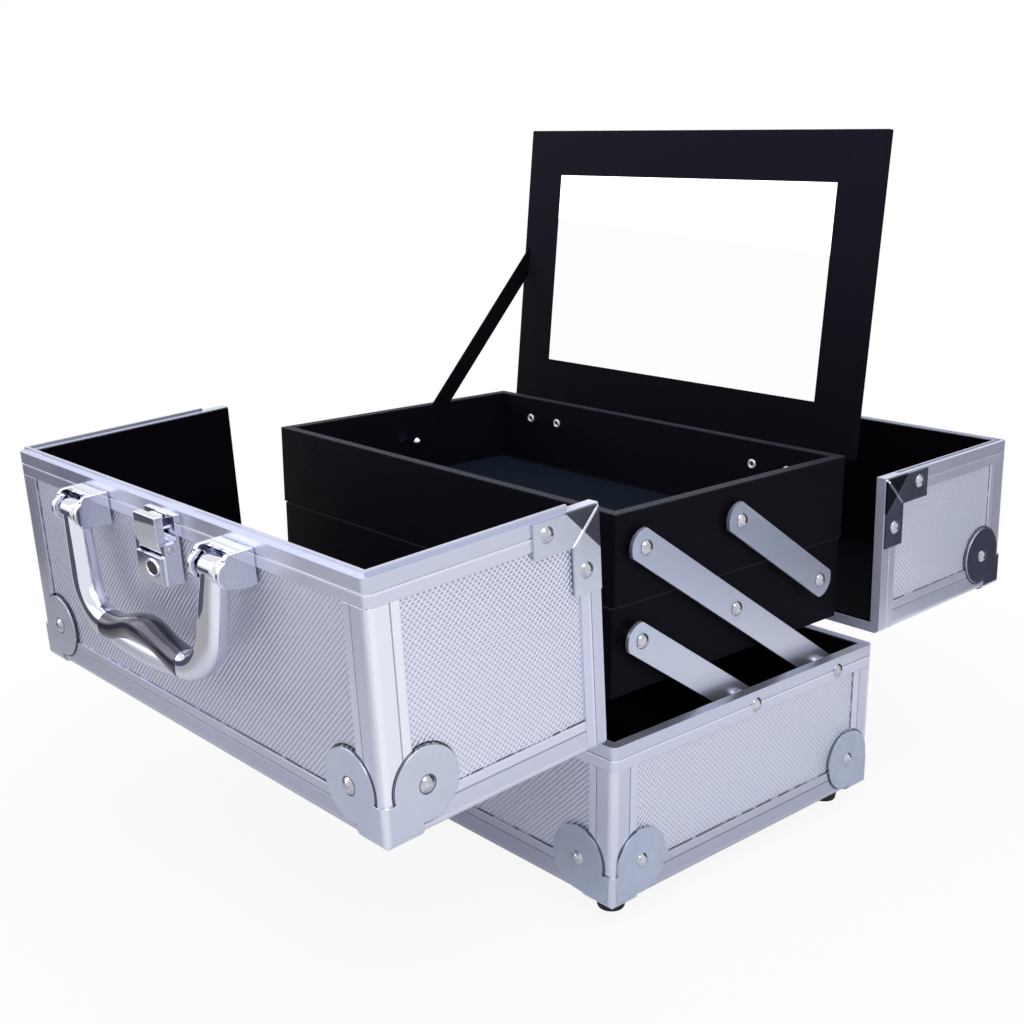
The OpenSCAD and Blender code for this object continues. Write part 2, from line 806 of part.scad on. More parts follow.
module front_corner_plates() {
    color("gainsboro") in_front_shell() shell_plates(front_depth);
}

module front_rivets() {
    color("white") in_front_shell() shell_rivets(front_depth);
}

module front_hinge_leaves() {
    color("silver") in_front_shell() shell_hinge_leaves();
}

module front_hinge_pins() {
    color("white") in_front_shell() shell_hinge_pins();
}

// Outline of a bracket cheek in a shell's plane of Y and Z
module cheek_outline() {
    y1 = front_depth - bracket_in;
    pivot_y = front_depth - handle_pivot_in;
    cheek_r = handle_pivot_in - bracket_in - bracket_t;
    translate([y1 - bracket_l, shell_h]) square([bracket_l, handle_pivot_h]);
    translate([pivot_y, shell_h]) square([y1 - pivot_y, handle_pivot_h + bracket_t]);
    translate([pivot_y, shell_h + handle_pivot_h]) circle(cheek_r);
}

// Hooded brackets on the handle wall, each with its cross pin
module handle_brackets() {
    y1 = front_depth - bracket_in;
    pivot_y = front_depth - handle_pivot_in;
    pivot_z = shell_h + handle_pivot_h;
    cavity = bracket_w / 2 - bracket_t;
    color("white") in_front_shell() both_x() translate([handle_x, 0, 0]) {
        difference() {
            along_x(-bracket_w / 2, bracket_w) cheek_outline();
            block([-cavity, y1 - bracket_l - over, shell_h + bracket_base],
                [cavity, y1 - bracket_t, pivot_z + bracket_l]);
            bar_x(-bracket_w, pivot_y, pivot_z, shank_r, 2 * bracket_w);
        }
        bar_x(-bracket_w / 2, pivot_y, pivot_z, shank_r, bracket_w);
    }
}

// Bail of the handle: a boss in each bracket, a leaning arm and an elbow each side
module handle_bail() {
    boss_l = bracket_w - 2 * bracket_t - 2 * knuckle_gap;
    arm_foot = bail_r - bail_taper;
    color("gainsboro") in_base() translate([0, handle_axis.x, handle_axis.y]) both_x() difference() {
        union() {
            bar_x(handle_x - boss_l / 2, 0, 0, boss_r, boss_l);
            translate([elbow_x, 0, elbow_z]) rotate([0, bail_lean, 0]) translate([0, 0, -over])
                cylinder(h = bail_reach + over, r1 = arm_foot, r2 = boss_r - bail_taper / 2);
            translate([grip_half_l, 0, elbow_z + elbow_r * sin(bail_lean)])
                rotate([90, 0, 0]) rotate([0, 0, -90])
                rotate_extrude(angle = 90 - bail_lean) translate([elbow_r, 0]) circle(bail_r);
        }
        bar_x(handle_x - boss_l, 0, 0, shank_r + shank_gap, 2 * boss_l);
    }
}

// Point of the grip on ring i at side j: its middle rises in one smooth wave
function grip_point(i, j) =
    let (s = 2 * i / grip_rings - 1, a = 360 * j / grip_sides)
    [
        s * grip_half_l,
        grip_half.x * cos(a),
        grip_z + grip_rise * (1 + cos(180 * s)) / 2 + grip_half.y * sin(a)
    ];

// Number of that point in the list of points
function grip_at(i, j) = i * grip_sides + (j % grip_sides);

module handle_grip() {
    color("dimgray") in_base() translate([0, handle_axis.x, handle_axis.y]) polyhedron(
        points = [for (i = [0:grip_rings], j = [0:grip_sides - 1]) grip_point(i, j)],
        faces = concat(
            [[for (j = [0:grip_sides - 1]) j]],
            [[for (j = [grip_sides - 1:-1:0]) grip_rings * grip_sides + j]],
            [for (i = [0:grip_rings - 1], j = [0:grip_sides - 1])
                [grip_at(i, j), grip_at(i + 1, j), grip_at(i + 1, j + 1)]],
            [for (i = [0:grip_rings - 1], j = [0:grip_sides - 1])
                [grip_at(i, j), grip_at(i + 1, j + 1), grip_at(i, j + 1)]]
        )
    );
}

// Lock case on its base plate, with a keyhole and two ears for the latch
module lock_body() {
    y0 = front_depth - lock_in - lock_l;
    y1 = front_depth - lock_in;
    case_y = front_depth - latch_pivot.x - latch_r - knuckle_gap;
    ear_in = latch_w / 2 + knuckle_gap;
    pivot_y = front_depth - latch_pivot.x;
    pivot_z = shell_h + latch_pivot.y;
    color("white") in_front_shell() difference() {
        union() {
            block([-lock_w / 2, y0, shell_h], [lock_w / 2, y1, shell_h + lock_base]);
            translate([0, case_y, shell_h]) rotate([90, 0, 0]) linear_extrude(case_y - y0) polygon([
                [-lock_w / 2, 0], [lock_w / 2, 0],
                [lock_w / 2 - lock_slope, lock_h], [-lock_w / 2 + lock_slope, lock_h]
            ]);
            both_x() block([ear_in, y0, shell_h],
                [lock_w / 2, pivot_y + latch_r, pivot_z + latch_r]);
        }
        translate([0, front_depth - keyhole_in, shell_h + lock_base]) linear_extrude(lock_h) {
            circle(keyhole.y / 2);
            square([keyhole.x, keyhole.y / 2], center = true);
            both_x() translate([keyhole.x / 2, 0]) circle(keyhole.y / 4);
        }
        bar_x(-lock_w, pivot_y, pivot_z, trunnion_r + shank_gap, 2 * lock_w);
    }
}

// Latch flap with its barrel, trunnions and the nose that holds the strike
module lock_latch() {
    pivot_y = front_depth - latch_pivot.x;
    pivot_z = shell_h + latch_pivot.y;
    nose_y = front_depth - lock_in - nose_in;
    flap_t = lock_h - latch_pivot.y;
    flap_l = latch_pivot.x - lock_in;
    color("white") in_front_shell() {
        bar_x(-latch_w / 2, pivot_y, pivot_z, latch_r, latch_w);
        bar_x(-lock_w / 2, pivot_y, pivot_z, trunnion_r, lock_w);
        translate([0, pivot_y, pivot_z]) along_x(-latch_w / 2, latch_w) polygon([
            [0, 0], [0, latch_r], [flap_back, flap_t], [flap_l, flap_t], [flap_l, 0]
        ]);
        block([-nose_w / 2, nose_y - nose_t, shell_h + lock_base + knuckle_gap],
            [nose_w / 2, nose_y, pivot_z + over]);
    }
}

// Strike on the rear shell: a plate, and a tongue with the slot that the nose drops into
module lock_strike() {
    y_end = rear_depth + rim_gap + lock_in + nose_in + nose_t + 2 * slot_gap;
    slot_y = rear_depth + rim_gap + lock_in + nose_in - slot_gap;
    color("white") in_rear_shell() difference() {
        union() {
            block([-latch_w / 2, rear_depth - lock_l / 2, shell_h],
                [latch_w / 2, rear_depth - lock_in, shell_h + lock_base + tongue_gap + tongue_t]);
            block([-nose_w, rear_depth - lock_in - over, shell_h + lock_base + tongue_gap],
                [nose_w, y_end, shell_h + lock_base + tongue_gap + tongue_t]);
        }
        block([-nose_w / 2 - slot_gap, slot_y, shell_h],
            [nose_w / 2 + slot_gap, slot_y + nose_t + 1.5 * slot_gap, shell_h + lock_h]);
    }
}

// Rear shell

module rear_top_panel() {
    color("lightsteelblue") in_rear_shell() shell_top_panel(rear_depth);
}

module rear_outer_panel() {
    color("lightsteelblue") in_rear_shell() shell_outer_panel();
}

module rear_end_panels() {
    color("lightsteelblue") in_rear_shell() shell_end_panels(rear_depth);
}

module rear_lining() {
    color("#15131a") in_rear_shell() shell_lining(rear_depth);
}

module rear_split_rim() {
    color("silver") in_rear_shell() difference() {
        shell_split_rim(rear_depth);
        difference() {
            block([-half_l + lip_in - lip_gap, rear_depth - lip_h, plate_w - lip_gap],
                [half_l - lip_in + lip_gap, rear_depth + over, shell_h - lip_in + lip_gap]);
            block([-half_l + lip_in + lip_t + lip_gap, 0, 0],
                [half_l - lip_in - lip_t - lip_gap, case_w, shell_h - lip_in - lip_t - lip_gap]);
        }
    }
}

module rear_hinge_rim() {
    color("silver") in_rear_shell() shell_hinge_rim(rear_depth);
}

module rear_edge_frame() {
    color("silver") in_rear_shell() shell_edge_frame(rear_depth);
}

module rear_corner_guards() {
    color("gainsboro") in_rear_shell() shell_guards();
}

module rear_corner_plates() {
    color("gainsboro") in_rear_shell() shell_plates(rear_depth);
}

module rear_rivets() {
    color("white") in_rear_shell() shell_rivets(rear_depth);
}

module rear_hinge_leaves() {
    color("silver") in_rear_shell() shell_hinge_leaves();
}

module rear_hinge_pins() {
    color("white") in_rear_shell() shell_hinge_pins();
}

// Lift arms and trays

// Pair of flat arms from a lower pivot up to the front, with bores at the given distances
module arms(from, bores) {
    length = bores[len(bores) - 1];
    both_x() translate([arm_in, from.x, from.y]) rotate([180 - arm_tilt, 0, 0])
        difference() {
            along_x(0, arm_t) {
                translate([0, -arm_w / 2]) square([length, arm_w]);
                for (end = [0, length]) translate([end, 0]) intersection() {
                    circle(arm_end_r);
                    square([2 * arm_end_r, arm_w], center = true);
                }
            }
            for (at = bores) bar_x(-over, at, 0, shank_r + shank_gap, arm_t + 2 * over);
        }
}

module long_arms() {
    color("#aab4cc") in_base() arms(base_pivot, [0, base_span, base_span + upper_span]);
}

module lower_arms() {
    color("#aab4cc") in_base() arms(base_pivot - [pivot_pitch, 0], [0, base_span]);
}

module upper_arms() {
    color("#aab4cc") in_base() arms(mid_pivot + [pivot_pitch, 0], [0, upper_span]);
}

// Four walls of a tray between two levels, with bores for the pivot rivets
module tray_walls(half, low, top, pivots) {
    difference() {
        block([-half, tray_front, low], [half, tray_rear, top]);
        block([-half + tray_wall, tray_front + tray_wall, low - over],
            [half - tray_wall, tray_rear - tray_wall, top + over]);
        both_x() for (at = pivots)
            bar_x(half - tray_wall - over, at.x, at.y, shank_r + shank_gap, tray_wall + 2 * over);
    }
}

module tray_bottom(half, low) {
    block([-half + tray_wall, tray_front + tray_wall, low],
        [half - tray_wall, tray_rear - tray_wall, low + tray_floor]);
}

// Pivot rivets in a tray's end walls, with a spacer between the wall and the arm
module pivot_rivets(half, pivots) {
    head_x = arm_out + arm_gap;
    inner = half - tray_wall;
    both_x() for (at = pivots) {
        translate([head_x, at.x, at.y]) rotate([0, 90, 0]) dome(rivet_d, rivet_h);
        bar_x(inner - clinch.y / 2, at.x, at.y, shank_r, head_x + rivet_h / 2 - inner + clinch.y / 2);
        bar_x(half, at.x, at.y, spacer_r, arm_in - arm_gap - half);
        bar_x(inner - clinch.y, at.x, at.y, clinch.x, clinch.y);
    }
}

module lower_tray_walls() {
    color("#1b1922") in_base() tray_walls(lower_half, lower_low, lower_top, lower_pivots);
}

module lower_tray_floor() {
    color("#15131a") in_base() tray_bottom(lower_half, lower_low);
}

module lower_tray_rivets() {
    color("white") in_base() pivot_rivets(lower_half, lower_pivots);
}

module upper_tray_walls() {
    rivet_z = lid_axis.y - leaf_rivet_drop;
    color("#1b1922") in_base() difference() {
        tray_walls(tray_half, upper_low, upper_top, upper_pivots);
        both_x() for (s = [-1, 1]) translate([lid_hinge_x + s * leaf_rivet_x, tray_rear + over, rivet_z])
            rotate([90, 0, 0]) cylinder(h = tray_wall + 2 * over, r = eyelet.y + eyelet_wall + shank_gap);
    }
}

module upper_tray_floor() {
    color("#15131a") in_base() tray_bottom(tray_half, upper_low);
}

module upper_tray_pad() {
    edge = tray_wall + pad_margin;
    low = upper_low + tray_floor;
    color("#1c2230") in_base() block([-tray_half + edge, tray_front + edge, low],
        [tray_half - edge, tray_rear - edge, low + pad_t]);
}

// Tubular rivet through the tray's rear wall and the leaf outside it
module leaf_rivet() {
    depth = tray_wall + lid_leaf_t;
    rotate([90, 0, 0]) difference() {
        union() {
            translate([0, 0, -lid_leaf_t / 2]) cylinder(h = lid_leaf_t / 2, r = eyelet.x);
            cylinder(h = depth, r = eyelet.y + eyelet_wall);
            translate([0, 0, depth]) cylinder(h = lid_leaf_t / 2, r = eyelet.x);
        }
        translate([0, 0, tray_wall / 2]) cylinder(h = depth, r = eyelet.y);
    }
}

module upper_tray_rivets() {
    color("white") in_base() {
        pivot_rivets(tray_half, upper_pivots);
        both_x() for (s = [-1, 1])
            translate([lid_hinge_x + s * leaf_rivet_x, tray_rear + lid_leaf_t, lid_axis.y - leaf_rivet_drop])
                leaf_rivet();
        translate([-tray_half + tray_wall, strap_low.x, upper_top - strap_low.y]) rotate([0, 90, 0]) {
            cylinder(h = strap_t + 2 * arm_gap, r = shank_r);
            translate([0, 0, strap_t + 2 * arm_gap]) dome(strap_rivet_d, rivet_h);
        }
    }
}

// Leaves on the tray's rear wall, each with two outer knuckles
module tray_hinge_leaves() {
    side = (lid_leaf_l - lid_knuckle_mid) / 2 - knuckle_gap;
    plate_top = -lid_knuckle_r - knuckle_gap;
    plate_h = leaf_rivet_drop + plate_top + eyelet.x + lid_leaf_t;
    color("silver") in_base() both_x() translate([lid_hinge_x, tray_rear, lid_axis.y]) difference() {
        union() {
            translate([-lid_leaf_l / 2, 0, plate_top - plate_h]) cube([lid_leaf_l, lid_leaf_t, plate_h]);
            both_x() translate([lid_leaf_l / 2 - side, 0, 0]) {
                translate([0, 0, plate_top - over]) cube([side, lid_leaf_t, over - plate_top]);
                bar_x(0, lid_hinge_out, 0, lid_knuckle_r, side);
            }
        }
        bar_x(-lid_leaf_l, lid_hinge_out, 0, lid_pin_r + shank_gap, 2 * lid_leaf_l);
        for (s = [-1, 1]) translate([s * leaf_rivet_x, lid_leaf_t + over, -leaf_rivet_drop])
            rotate([90, 0, 0]) cylinder(h = lid_leaf_t + 2 * over, r = eyelet.y + eyelet_wall + shank_gap);
    }
}

// Mirror lid, modelled closed and swung open

module lid_board() {
    color("#15131a") in_lid() block([-lid_half, lid_rear - lid_w, lid_mid], [lid_half, lid_rear, lid_top]);
}

module lid_frame() {
    color("#1b1922") in_lid() difference() {
        block([-lid_half, lid_rear - lid_w, lid_low], [lid_half, lid_rear, lid_mid]);
        block([-lid_half + mirror_side, lid_rear - lid_w + mirror_ends.y, lid_low - over],
            [lid_half - mirror_side, lid_rear - mirror_ends.x, lid_mid + over]);
    }
}

module mirror_glass() {
    color("white") in_lid() block(
        [-lid_half + mirror_side, lid_rear - lid_w + mirror_ends.y, lid_low + mirror_recess],
        [lid_half - mirror_side, lid_rear - mirror_ends.x, lid_mid]);
}

// Leaves that climb the lid's rear edge and lie over its back, each with a middle knuckle
module lid_hinge_leaves() {
    back = lid_rear + lid_leaf_t;
    color("silver") in_lid() both_x() translate([lid_hinge_x, 0, 0]) difference() {
        union() {
            block([-lid_leaf_l / 2, lid_rear, lid_low], [lid_leaf_l / 2, back, lid_top + lid_leaf_t]);
            block([-lid_leaf_l / 2, back - lid_leaf_back, lid_top],
                [lid_leaf_l / 2, back, lid_top + lid_leaf_t]);
            block([-lid_knuckle_mid / 2, lid_rear, lid_axis.y], [lid_knuckle_mid / 2, back, lid_top]);
            bar_x(-lid_knuckle_mid / 2, lid_axis.x, lid_axis.y, lid_knuckle_r, lid_knuckle_mid);
        }
        bar_x(-lid_leaf_l, lid_axis.x, lid_axis.y, lid_pin_r + shank_gap, 2 * lid_leaf_l);
    }
}

module lid_hinge_pins() {
    color("white") in_base() both_x()
        bar_x(lid_hinge_x - lid_leaf_l / 2, lid_axis.x, lid_axis.y, lid_pin_r, lid_leaf_l);
}

// Stay strap from the tray's end wall up to the open lid, its upper end cut along the lid's face
module lid_strap() {
    lid_dir = [-cos(lid_open), sin(lid_open)];
    face = lid_low - lid_axis.y;
    up = strap_up + lid_axis.x - lid_rear;
    top = lid_axis + up * lid_dir + face * [lid_dir.y, -lid_dir.x];
    low = [strap_low.x, upper_top - strap_low.y];
    run = top - low;
    angle = atan2(run.y, run.x);
    to_lid = 180 - lid_open - angle;
    length = norm(run) - arm_gap / sin(to_lid);
    skew = strap_w / 2 / tan(to_lid);
    color("#101014") in_base()
        translate([-tray_half + tray_wall + arm_gap, low.x, low.y]) rotate([angle, 0, 0])
        difference() {
            along_x(0, strap_t) {
                circle(strap_w / 2);
                polygon([[0, -strap_w / 2], [length - skew, -strap_w / 2],
                    [length + skew, strap_w / 2], [0, strap_w / 2]]);
            }
            bar_x(-over, 0, 0, shank_r + shank_gap, strap_t + 2 * over);
        }
}

base_floor();
base_front_panel();
base_rear_panel();
base_end_panels();
base_lining();
base_rim_frame();
base_corner_posts();
base_bottom_frame();
base_corner_guards();
base_guard_rivets();
base_feet();
base_hinge_leaves();
arm_base_rivets();
front_handle_panel();
front_outer_panel();
front_end_panels();
front_lining();
front_split_rim();
front_hinge_rim();
front_edge_frame();
front_corner_guards();
front_corner_plates();
front_rivets();
front_hinge_leaves();
front_hinge_pins();
handle_brackets();
lock_body();
lock_latch();
handle_bail();
handle_grip();
rear_top_panel();
rear_outer_panel();
rear_end_panels();
rear_lining();
rear_split_rim();
rear_hinge_rim();
rear_edge_frame();
rear_corner_guards();
rear_corner_plates();
rear_rivets();
rear_hinge_leaves();
rear_hinge_pins();
lock_strike();
long_arms();
lower_arms();
upper_arms();
lower_tray_walls();
lower_tray_floor();
lower_tray_rivets();
upper_tray_walls();
upper_tray_floor();
upper_tray_pad();
upper_tray_rivets();
tray_hinge_leaves();
lid_board();
lid_frame();
mirror_glass();
lid_hinge_leaves();
lid_hinge_pins();
lid_strap();
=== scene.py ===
"""Vanity box with mirror, opened out.

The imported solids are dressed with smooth, finely bevelled copies of themselves. The handle, its brackets, the
keyhole and the eyelets are surfaces of their own. Lengths are in metres, but for the constants and the values
inside a finish that are said to be in millimetres, the source's own unit.
"""

import json
import math

import bmesh
import bpy
import numpy as np
from mathutils import Matrix, Vector


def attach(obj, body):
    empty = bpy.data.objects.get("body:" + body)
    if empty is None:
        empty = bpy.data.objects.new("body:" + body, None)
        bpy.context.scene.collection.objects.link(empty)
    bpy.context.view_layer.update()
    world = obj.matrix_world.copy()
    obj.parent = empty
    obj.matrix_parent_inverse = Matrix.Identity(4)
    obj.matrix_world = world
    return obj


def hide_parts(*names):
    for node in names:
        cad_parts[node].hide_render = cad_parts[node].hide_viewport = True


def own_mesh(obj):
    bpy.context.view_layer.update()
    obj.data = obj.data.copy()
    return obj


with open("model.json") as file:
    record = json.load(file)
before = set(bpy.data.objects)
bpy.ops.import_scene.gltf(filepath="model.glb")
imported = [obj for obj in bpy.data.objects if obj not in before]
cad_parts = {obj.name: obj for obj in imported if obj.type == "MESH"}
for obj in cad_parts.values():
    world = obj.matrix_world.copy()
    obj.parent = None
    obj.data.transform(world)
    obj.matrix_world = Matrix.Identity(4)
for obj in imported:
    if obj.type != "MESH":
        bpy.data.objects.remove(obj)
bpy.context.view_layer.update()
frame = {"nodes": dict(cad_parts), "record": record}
NODES = frame["nodes"]
MM = 0.001

# Camera, from the fit to the photograph: its angles in degrees, its lens and sensor in millimetres
CAMERA_PLACE = (0.4246, -0.39274, 0.2737)
CAMERA_AZIMUTH = 48.02
CAMERA_DOWN = 15.01
CAMERA_ROLL = -0.34
CAMERA_LENS = 49.91
SENSOR = 36.0

# Lamps: place, size in metres and power in watts. All point at one spot.
LAMPS = (
    ("key", (0.9, -0.5, 1.3), 0.9, 9.0),
    ("fill", (-1.1, -1.1, 0.9), 1.2, 7.0),
    ("top", (0.0, 0.2, 1.8), 1.4, 10.0),
)
LAMP_AIM = (0.0, 0.0, 0.1)

# The surround's light on matt surfaces
SURROUND = (0.93, 0.95, 1.0)
SURROUND_STRENGTH = 0.55

# Floor: half its side, then in millimetres what its real and painted shades follow
FLOOR_REACH = 4.0
NEAR_AXES = (240, 300)  # half axes of the ellipse about the box
DIM_AXES = (330, 300)  # half axes of the ellipse about the part that painted shade dims in reflections
DIM_CENTRE = (-200, -330)

# Flags
FLAG_LOW = 0.002  # height at which both start
FLAG_FRONT = 0.27  # Y of the front edge of the one behind
FLAG_BACK = 0.56  # Y where it starts to bend up
FLAG_BEND = 0.06  # radius of its bend
FLAG_TOP = 0.75
FLAG_ACROSS = (0.14, 0.50)  # its ends along X
LOW_FLAG = ((-0.28, -0.42), (-0.42, -0.20))  # both ends of the low one at the front left, in X and Y
LOW_FLAG_TOP = 0.12

# The case, in millimetres and degrees, as in the source
ORIGIN_Y = -8.671  # Y of the frame's origin from the case's middle
HALF_L = 115.0
HALF_W = 76.5
FOOT_H = 8.0
RIM_Z = 69.5  # top of the base's rim
SHELL_H = 93.6
DEPTHS = {"front": 86.4, "rear": 66.2}  # from the outer face to the split
OPEN = {"front": 93.7, "rear": -88.6}  # how far the shells stand open at rest
RIM_GAP = 0.4
HINGE_OUT = 3.0  # hinge line outside the outer face
EDGE_LEG = 12.0  # width of the extrusions on a face
GUARD_R = 12.5
RIVET_R = 2.9
PLATE_BAND = 12.0  # width of the corner plates at the split
REFLECTION_LEG = 15.5  # leg of the painted dark reflection, a triangle in their corner

# Centres of the guards' ears: their distances in mm from the two edges of an end face, and of a long face
EARS = {"base": ((14.4, 14.3), (16.8, 14.0)), "front": ((16.3, 16.3),) * 2, "rear": ((16.3, 16.3),) * 2}
OFF_FACE = 20  # how much farther a point counts for each millimetre off the ear's face
EAR_SHADOW = (GUARD_R + 0.35, 0.2, 0.25)  # middle, half width and softness of the shadow round an ear

# Heights and places that finishes follow, in millimetres
GROOVE_AT = 8.4  # the extrusions' groove, from the outer edge
RIM_HIGHLIGHT_AT = 5.3  # the rims' painted highlight line, from the outer edge
TRAY_TOPS = (147.8, 113.8)  # heights of both trays' top edges, which get a painted highlight
LID_RISE = (150.0, 275.0)  # where the lid's painted light, paler towards the top, starts and is full

# Eyelets in the upper tray, in millimetres
EYELET_X = (-77.5, -59.3, 59.3, 77.5)
EYELET_PLACE = (72.271, 137.9)  # in Y and Z
EYELET_R = 1.5
EYELET_WIRE = 0.6  # radius of the rolled rim
EYELET_OFF = 0.35  # from the wall to the rim's middle

# The keyhole on the lock, in millimetres
LOCK_H = 7.0
KEYHOLE_X = 2.0
KEYHOLE_IN = 20.4  # inward from the split, clear of the open latch
KEYHOLE_HALF = (4.2, 2.8)
KEYHOLE_WIRE = 0.55  # radius of the ring's section
BOWL_RISE = 0.25

# What several finishes share
BLACK_SPECULAR = 0.04  # reflectance of the black coverings, as a share of plain plastic's
SILVER = (0.62, 0.64, 0.77)
# Colour that painted shade darkens faces towards
PAINTED_SHADE_TONE = (0.10, 0.11, 0.16)
SILVER_METAL = {"base": 0.85, "front": 0.85, "rear": 0.5}

# Pressed faces
RIB_PITCH = 1.56  # in millimetres
RIB_SHARES = {  # share of the height that the ribs of one direction have
    ("base", "end"): 0.34, ("base", "long"): 0.3, ("front", "end"): 0.5, ("front", "long"): 0.3,
    ("front", "top"): 0.28, ("rear", "end"): 0.34, ("rear", "long"): 0.3, ("rear", "top"): 0.3,
}
PANEL_PAINTED_SHADE = {("front", "top"): 0.17, ("base", "long"): 0.17}  # painted shade: how much darker these faces are than the others

# The handle's pivot line in Y and Z, and both brackets' place along X, in millimetres
HANDLE_AXIS = (-178.771, 142.587)
HANDLE_X = 48.5

# Brackets, in millimetres on the handle wall
BRACKET_W = 19.0
BRACKET_IN = 2.7  # from the split to the bracket
BRACKET_L = 12.5  # length from there inward
BRACKET_T = 2.0
PIVOT = (9.5, 9.0)  # inward from the split and above the wall
CHEEK_R = 4.8
CHEEK_START = 155.4  # degrees where the cheek's round head starts
CHEEK_INNER_H = 6.5  # height of the cheek's inner edge
CHEEK_CHAMFER = 1.5
WEB_H = 6.0
WEB_CHAMFER = 0.8
FOOT_PLATE_H = 1.6

# The bail's barrels between the cheeks, in millimetres
KNUCKLE_R = 4.2
KNUCKLE_HALF = 5.6
KNUCKLE_END = 0.35  # radius of the flat ends, as a share

# The bail, in millimetres
BAIL_REACH = 24.0  # length of an arm below the pivot
BAIL_LEAN = 11.3  # degrees that the arms lean
ELBOW_R = 17.5
BAIL_CROWN = 3.6  # rise of the arms' domed tops
BAIL_HALF = (5.0, 4.1)  # half sizes in the bail's plane and across it
BAIL_GROWTH = (0.9, 1.0)  # how much each grows below
CROWN_RINGS = 8
ARM_RINGS = 18
ELBOW_RINGS = 22

# The grip and the bow under it, in millimetres
GRIP_RISE = 5.0
GRIP_HALF = (4.8, 5.2)
GRIP_SWELL = 0.06  # as a share
BOW_BELOW = 5.2  # from the grip's line down to the bow's underside, at the ends
BOW_DROP = 2.0  # and what the middle adds to that
BOW_R = (3.0, 1.2)  # radius at the ends, and what the middle adds
BOW_WIDTH = (0.9, 0.6)  # half width across: a share of the radius, and what is added

# Meshes: angles are in degrees
SHARP_SOLID = 32  # least angle of a sharp edge on a solid
SHARP_SURFACE = 50  # and on a surface
SHARP_BEVEL = 40  # and for a bevel
WELD = 2e-6  # distance in metres at which points are joined
FLAT = 0.5  # angle below which faces are one


class Value:
    """A number that varies over a surface. Its operators add Math nodes to the finish that it belongs to."""

    def __init__(self, finish, socket):
        self.finish = finish
        self.socket = socket

    def math(self, operation, *others):
        inputs = dict(enumerate((self, *others)))
        return self.finish.node("ShaderNodeMath", {"operation": operation}, inputs)

    def __add__(self, other):
        return self.math("ADD", other)

    def __sub__(self, other):
        return self.math("SUBTRACT", other)

    def __rsub__(self, other):
        return self.math("MULTIPLY_ADD", -1.0, other)

    def __mul__(self, other):
        return self.math("MULTIPLY", other)

    def __abs__(self):
        return self.math("ABSOLUTE")

    def min(self, other):
        return self.math("MINIMUM", other)

    def max(self, other):
        return self.math("MAXIMUM", other)

    def step(self, low, high):
        """0 below low, 1 above high and a smooth rise between; low above high turns it round."""
        settings = {"interpolation_type": "SMOOTHSTEP"}
        names = ("Value", "From Min", "From Max")
        return self.finish.node("ShaderNodeMapRange", settings, dict(zip(names, (self, low, high))))

    def band(self, middle, half, soft):
        """1 within half of the middle, falling to 0 over the soft width."""
        return abs(self - middle).step(half + soft, half)

    def wave(self, pitch):
        """Triangle wave of a length: 0 at whole pitches, 1 half way."""
        return abs((self * (1 / pitch)).math("FRACT") - 0.5) * -2.0 + 1.0


class Finish:
    """A material: a Principled shader, and the nodes that work out what varies over the surface."""

    def __init__(self, name, colour, roughness, metallic=0.0, **sockets):
        self.material = bpy.data.materials.new(name)
        self.material.use_nodes = True
        self.tree = self.material.node_tree
        self.shader = self.tree.nodes["Principled BSDF"]
        self.material.diffuse_color = (*colour, 1.0)
        self.set(**{"Base Color": (*colour, 1.0), "Roughness": roughness, "Metallic": metallic})
        self.set(**{k.replace("_", " "): v for k, v in sockets.items()})
        self.place = None

    def set(self, **sockets):
        """Sets sockets of the shader to plain values or links them to worked-out ones."""
        for name, value in sockets.items():
            if isinstance(value, Value):
                self.tree.links.new(value.socket, self.shader.inputs[name])
            else:
                self.shader.inputs[name].default_value = value

    def node(self, kind, settings=None, inputs=None, output=0):
        """Adds a node: its settings first, then the values or links of its sockets."""
        made = self.tree.nodes.new(kind)
        for key, value in (settings or {}).items():
            setattr(made, key, value)
        for key, value in (inputs or {}).items():
            if isinstance(value, Value):
                self.tree.links.new(value.socket, made.inputs[key])
            else:
                made.inputs[key].default_value = value
        return Value(self, made.outputs[output])

    def object_place(self):
        """Object coordinates in millimetres, as three values."""
        if self.place is None:
            where = self.node("ShaderNodeTexCoord", output="Object")
            split = self.node("ShaderNodeSeparateXYZ", inputs={0: where})
            outs = split.socket.node.outputs
            self.place = [Value(self, outs[i]) * (1 / MM) for i in range(3)]
        return self.place

    def noise(self, scale, detail=3.0, stretch=(1.0, 1.0, 1.0), roughness=0.5):
        """Fractal noise of Object coordinates, stretched along the axes, about 0.5."""
        where = self.node("ShaderNodeTexCoord", output="Object")
        turned = self.node("ShaderNodeMapping", inputs={"Vector": where, "Scale": stretch})
        inputs = {"Vector": turned, "Scale": scale, "Detail": detail, "Roughness": roughness}
        return self.node("ShaderNodeTexNoise", inputs=inputs)

    def cells(self, scale):
        """Rounded cells with creases between them: the distance from the nearest of scattered points."""
        where = self.node("ShaderNodeTexCoord", output="Object")
        return self.node("ShaderNodeTexVoronoi", {"feature": "F1"}, {"Vector": where, "Scale": scale})

    def mix(self, factor, first, second):
        """Colour between two colours."""
        as_colour = [v if isinstance(v, Value) else (*v, 1.0) for v in (first, second)]
        inputs = {0: factor, 6: as_colour[0], 7: as_colour[1]}
        return self.node("ShaderNodeMix", {"data_type": "RGBA"}, inputs, output=2)

    def bump(self, height, distance, strength=1.0):
        """Bends the surface's shading normal by a height from 0 to 1 over a distance in metres."""
        inputs = {"Height": height, "Distance": distance, "Strength": strength}
        self.set(Normal=self.node("ShaderNodeBump", inputs=inputs))


def distance(u, v, centre=(0, 0)):
    """Distance in a plane from a centre."""
    u, v = u - centre[0], v - centre[1]
    return (u * u + v * v).math("SQRT")


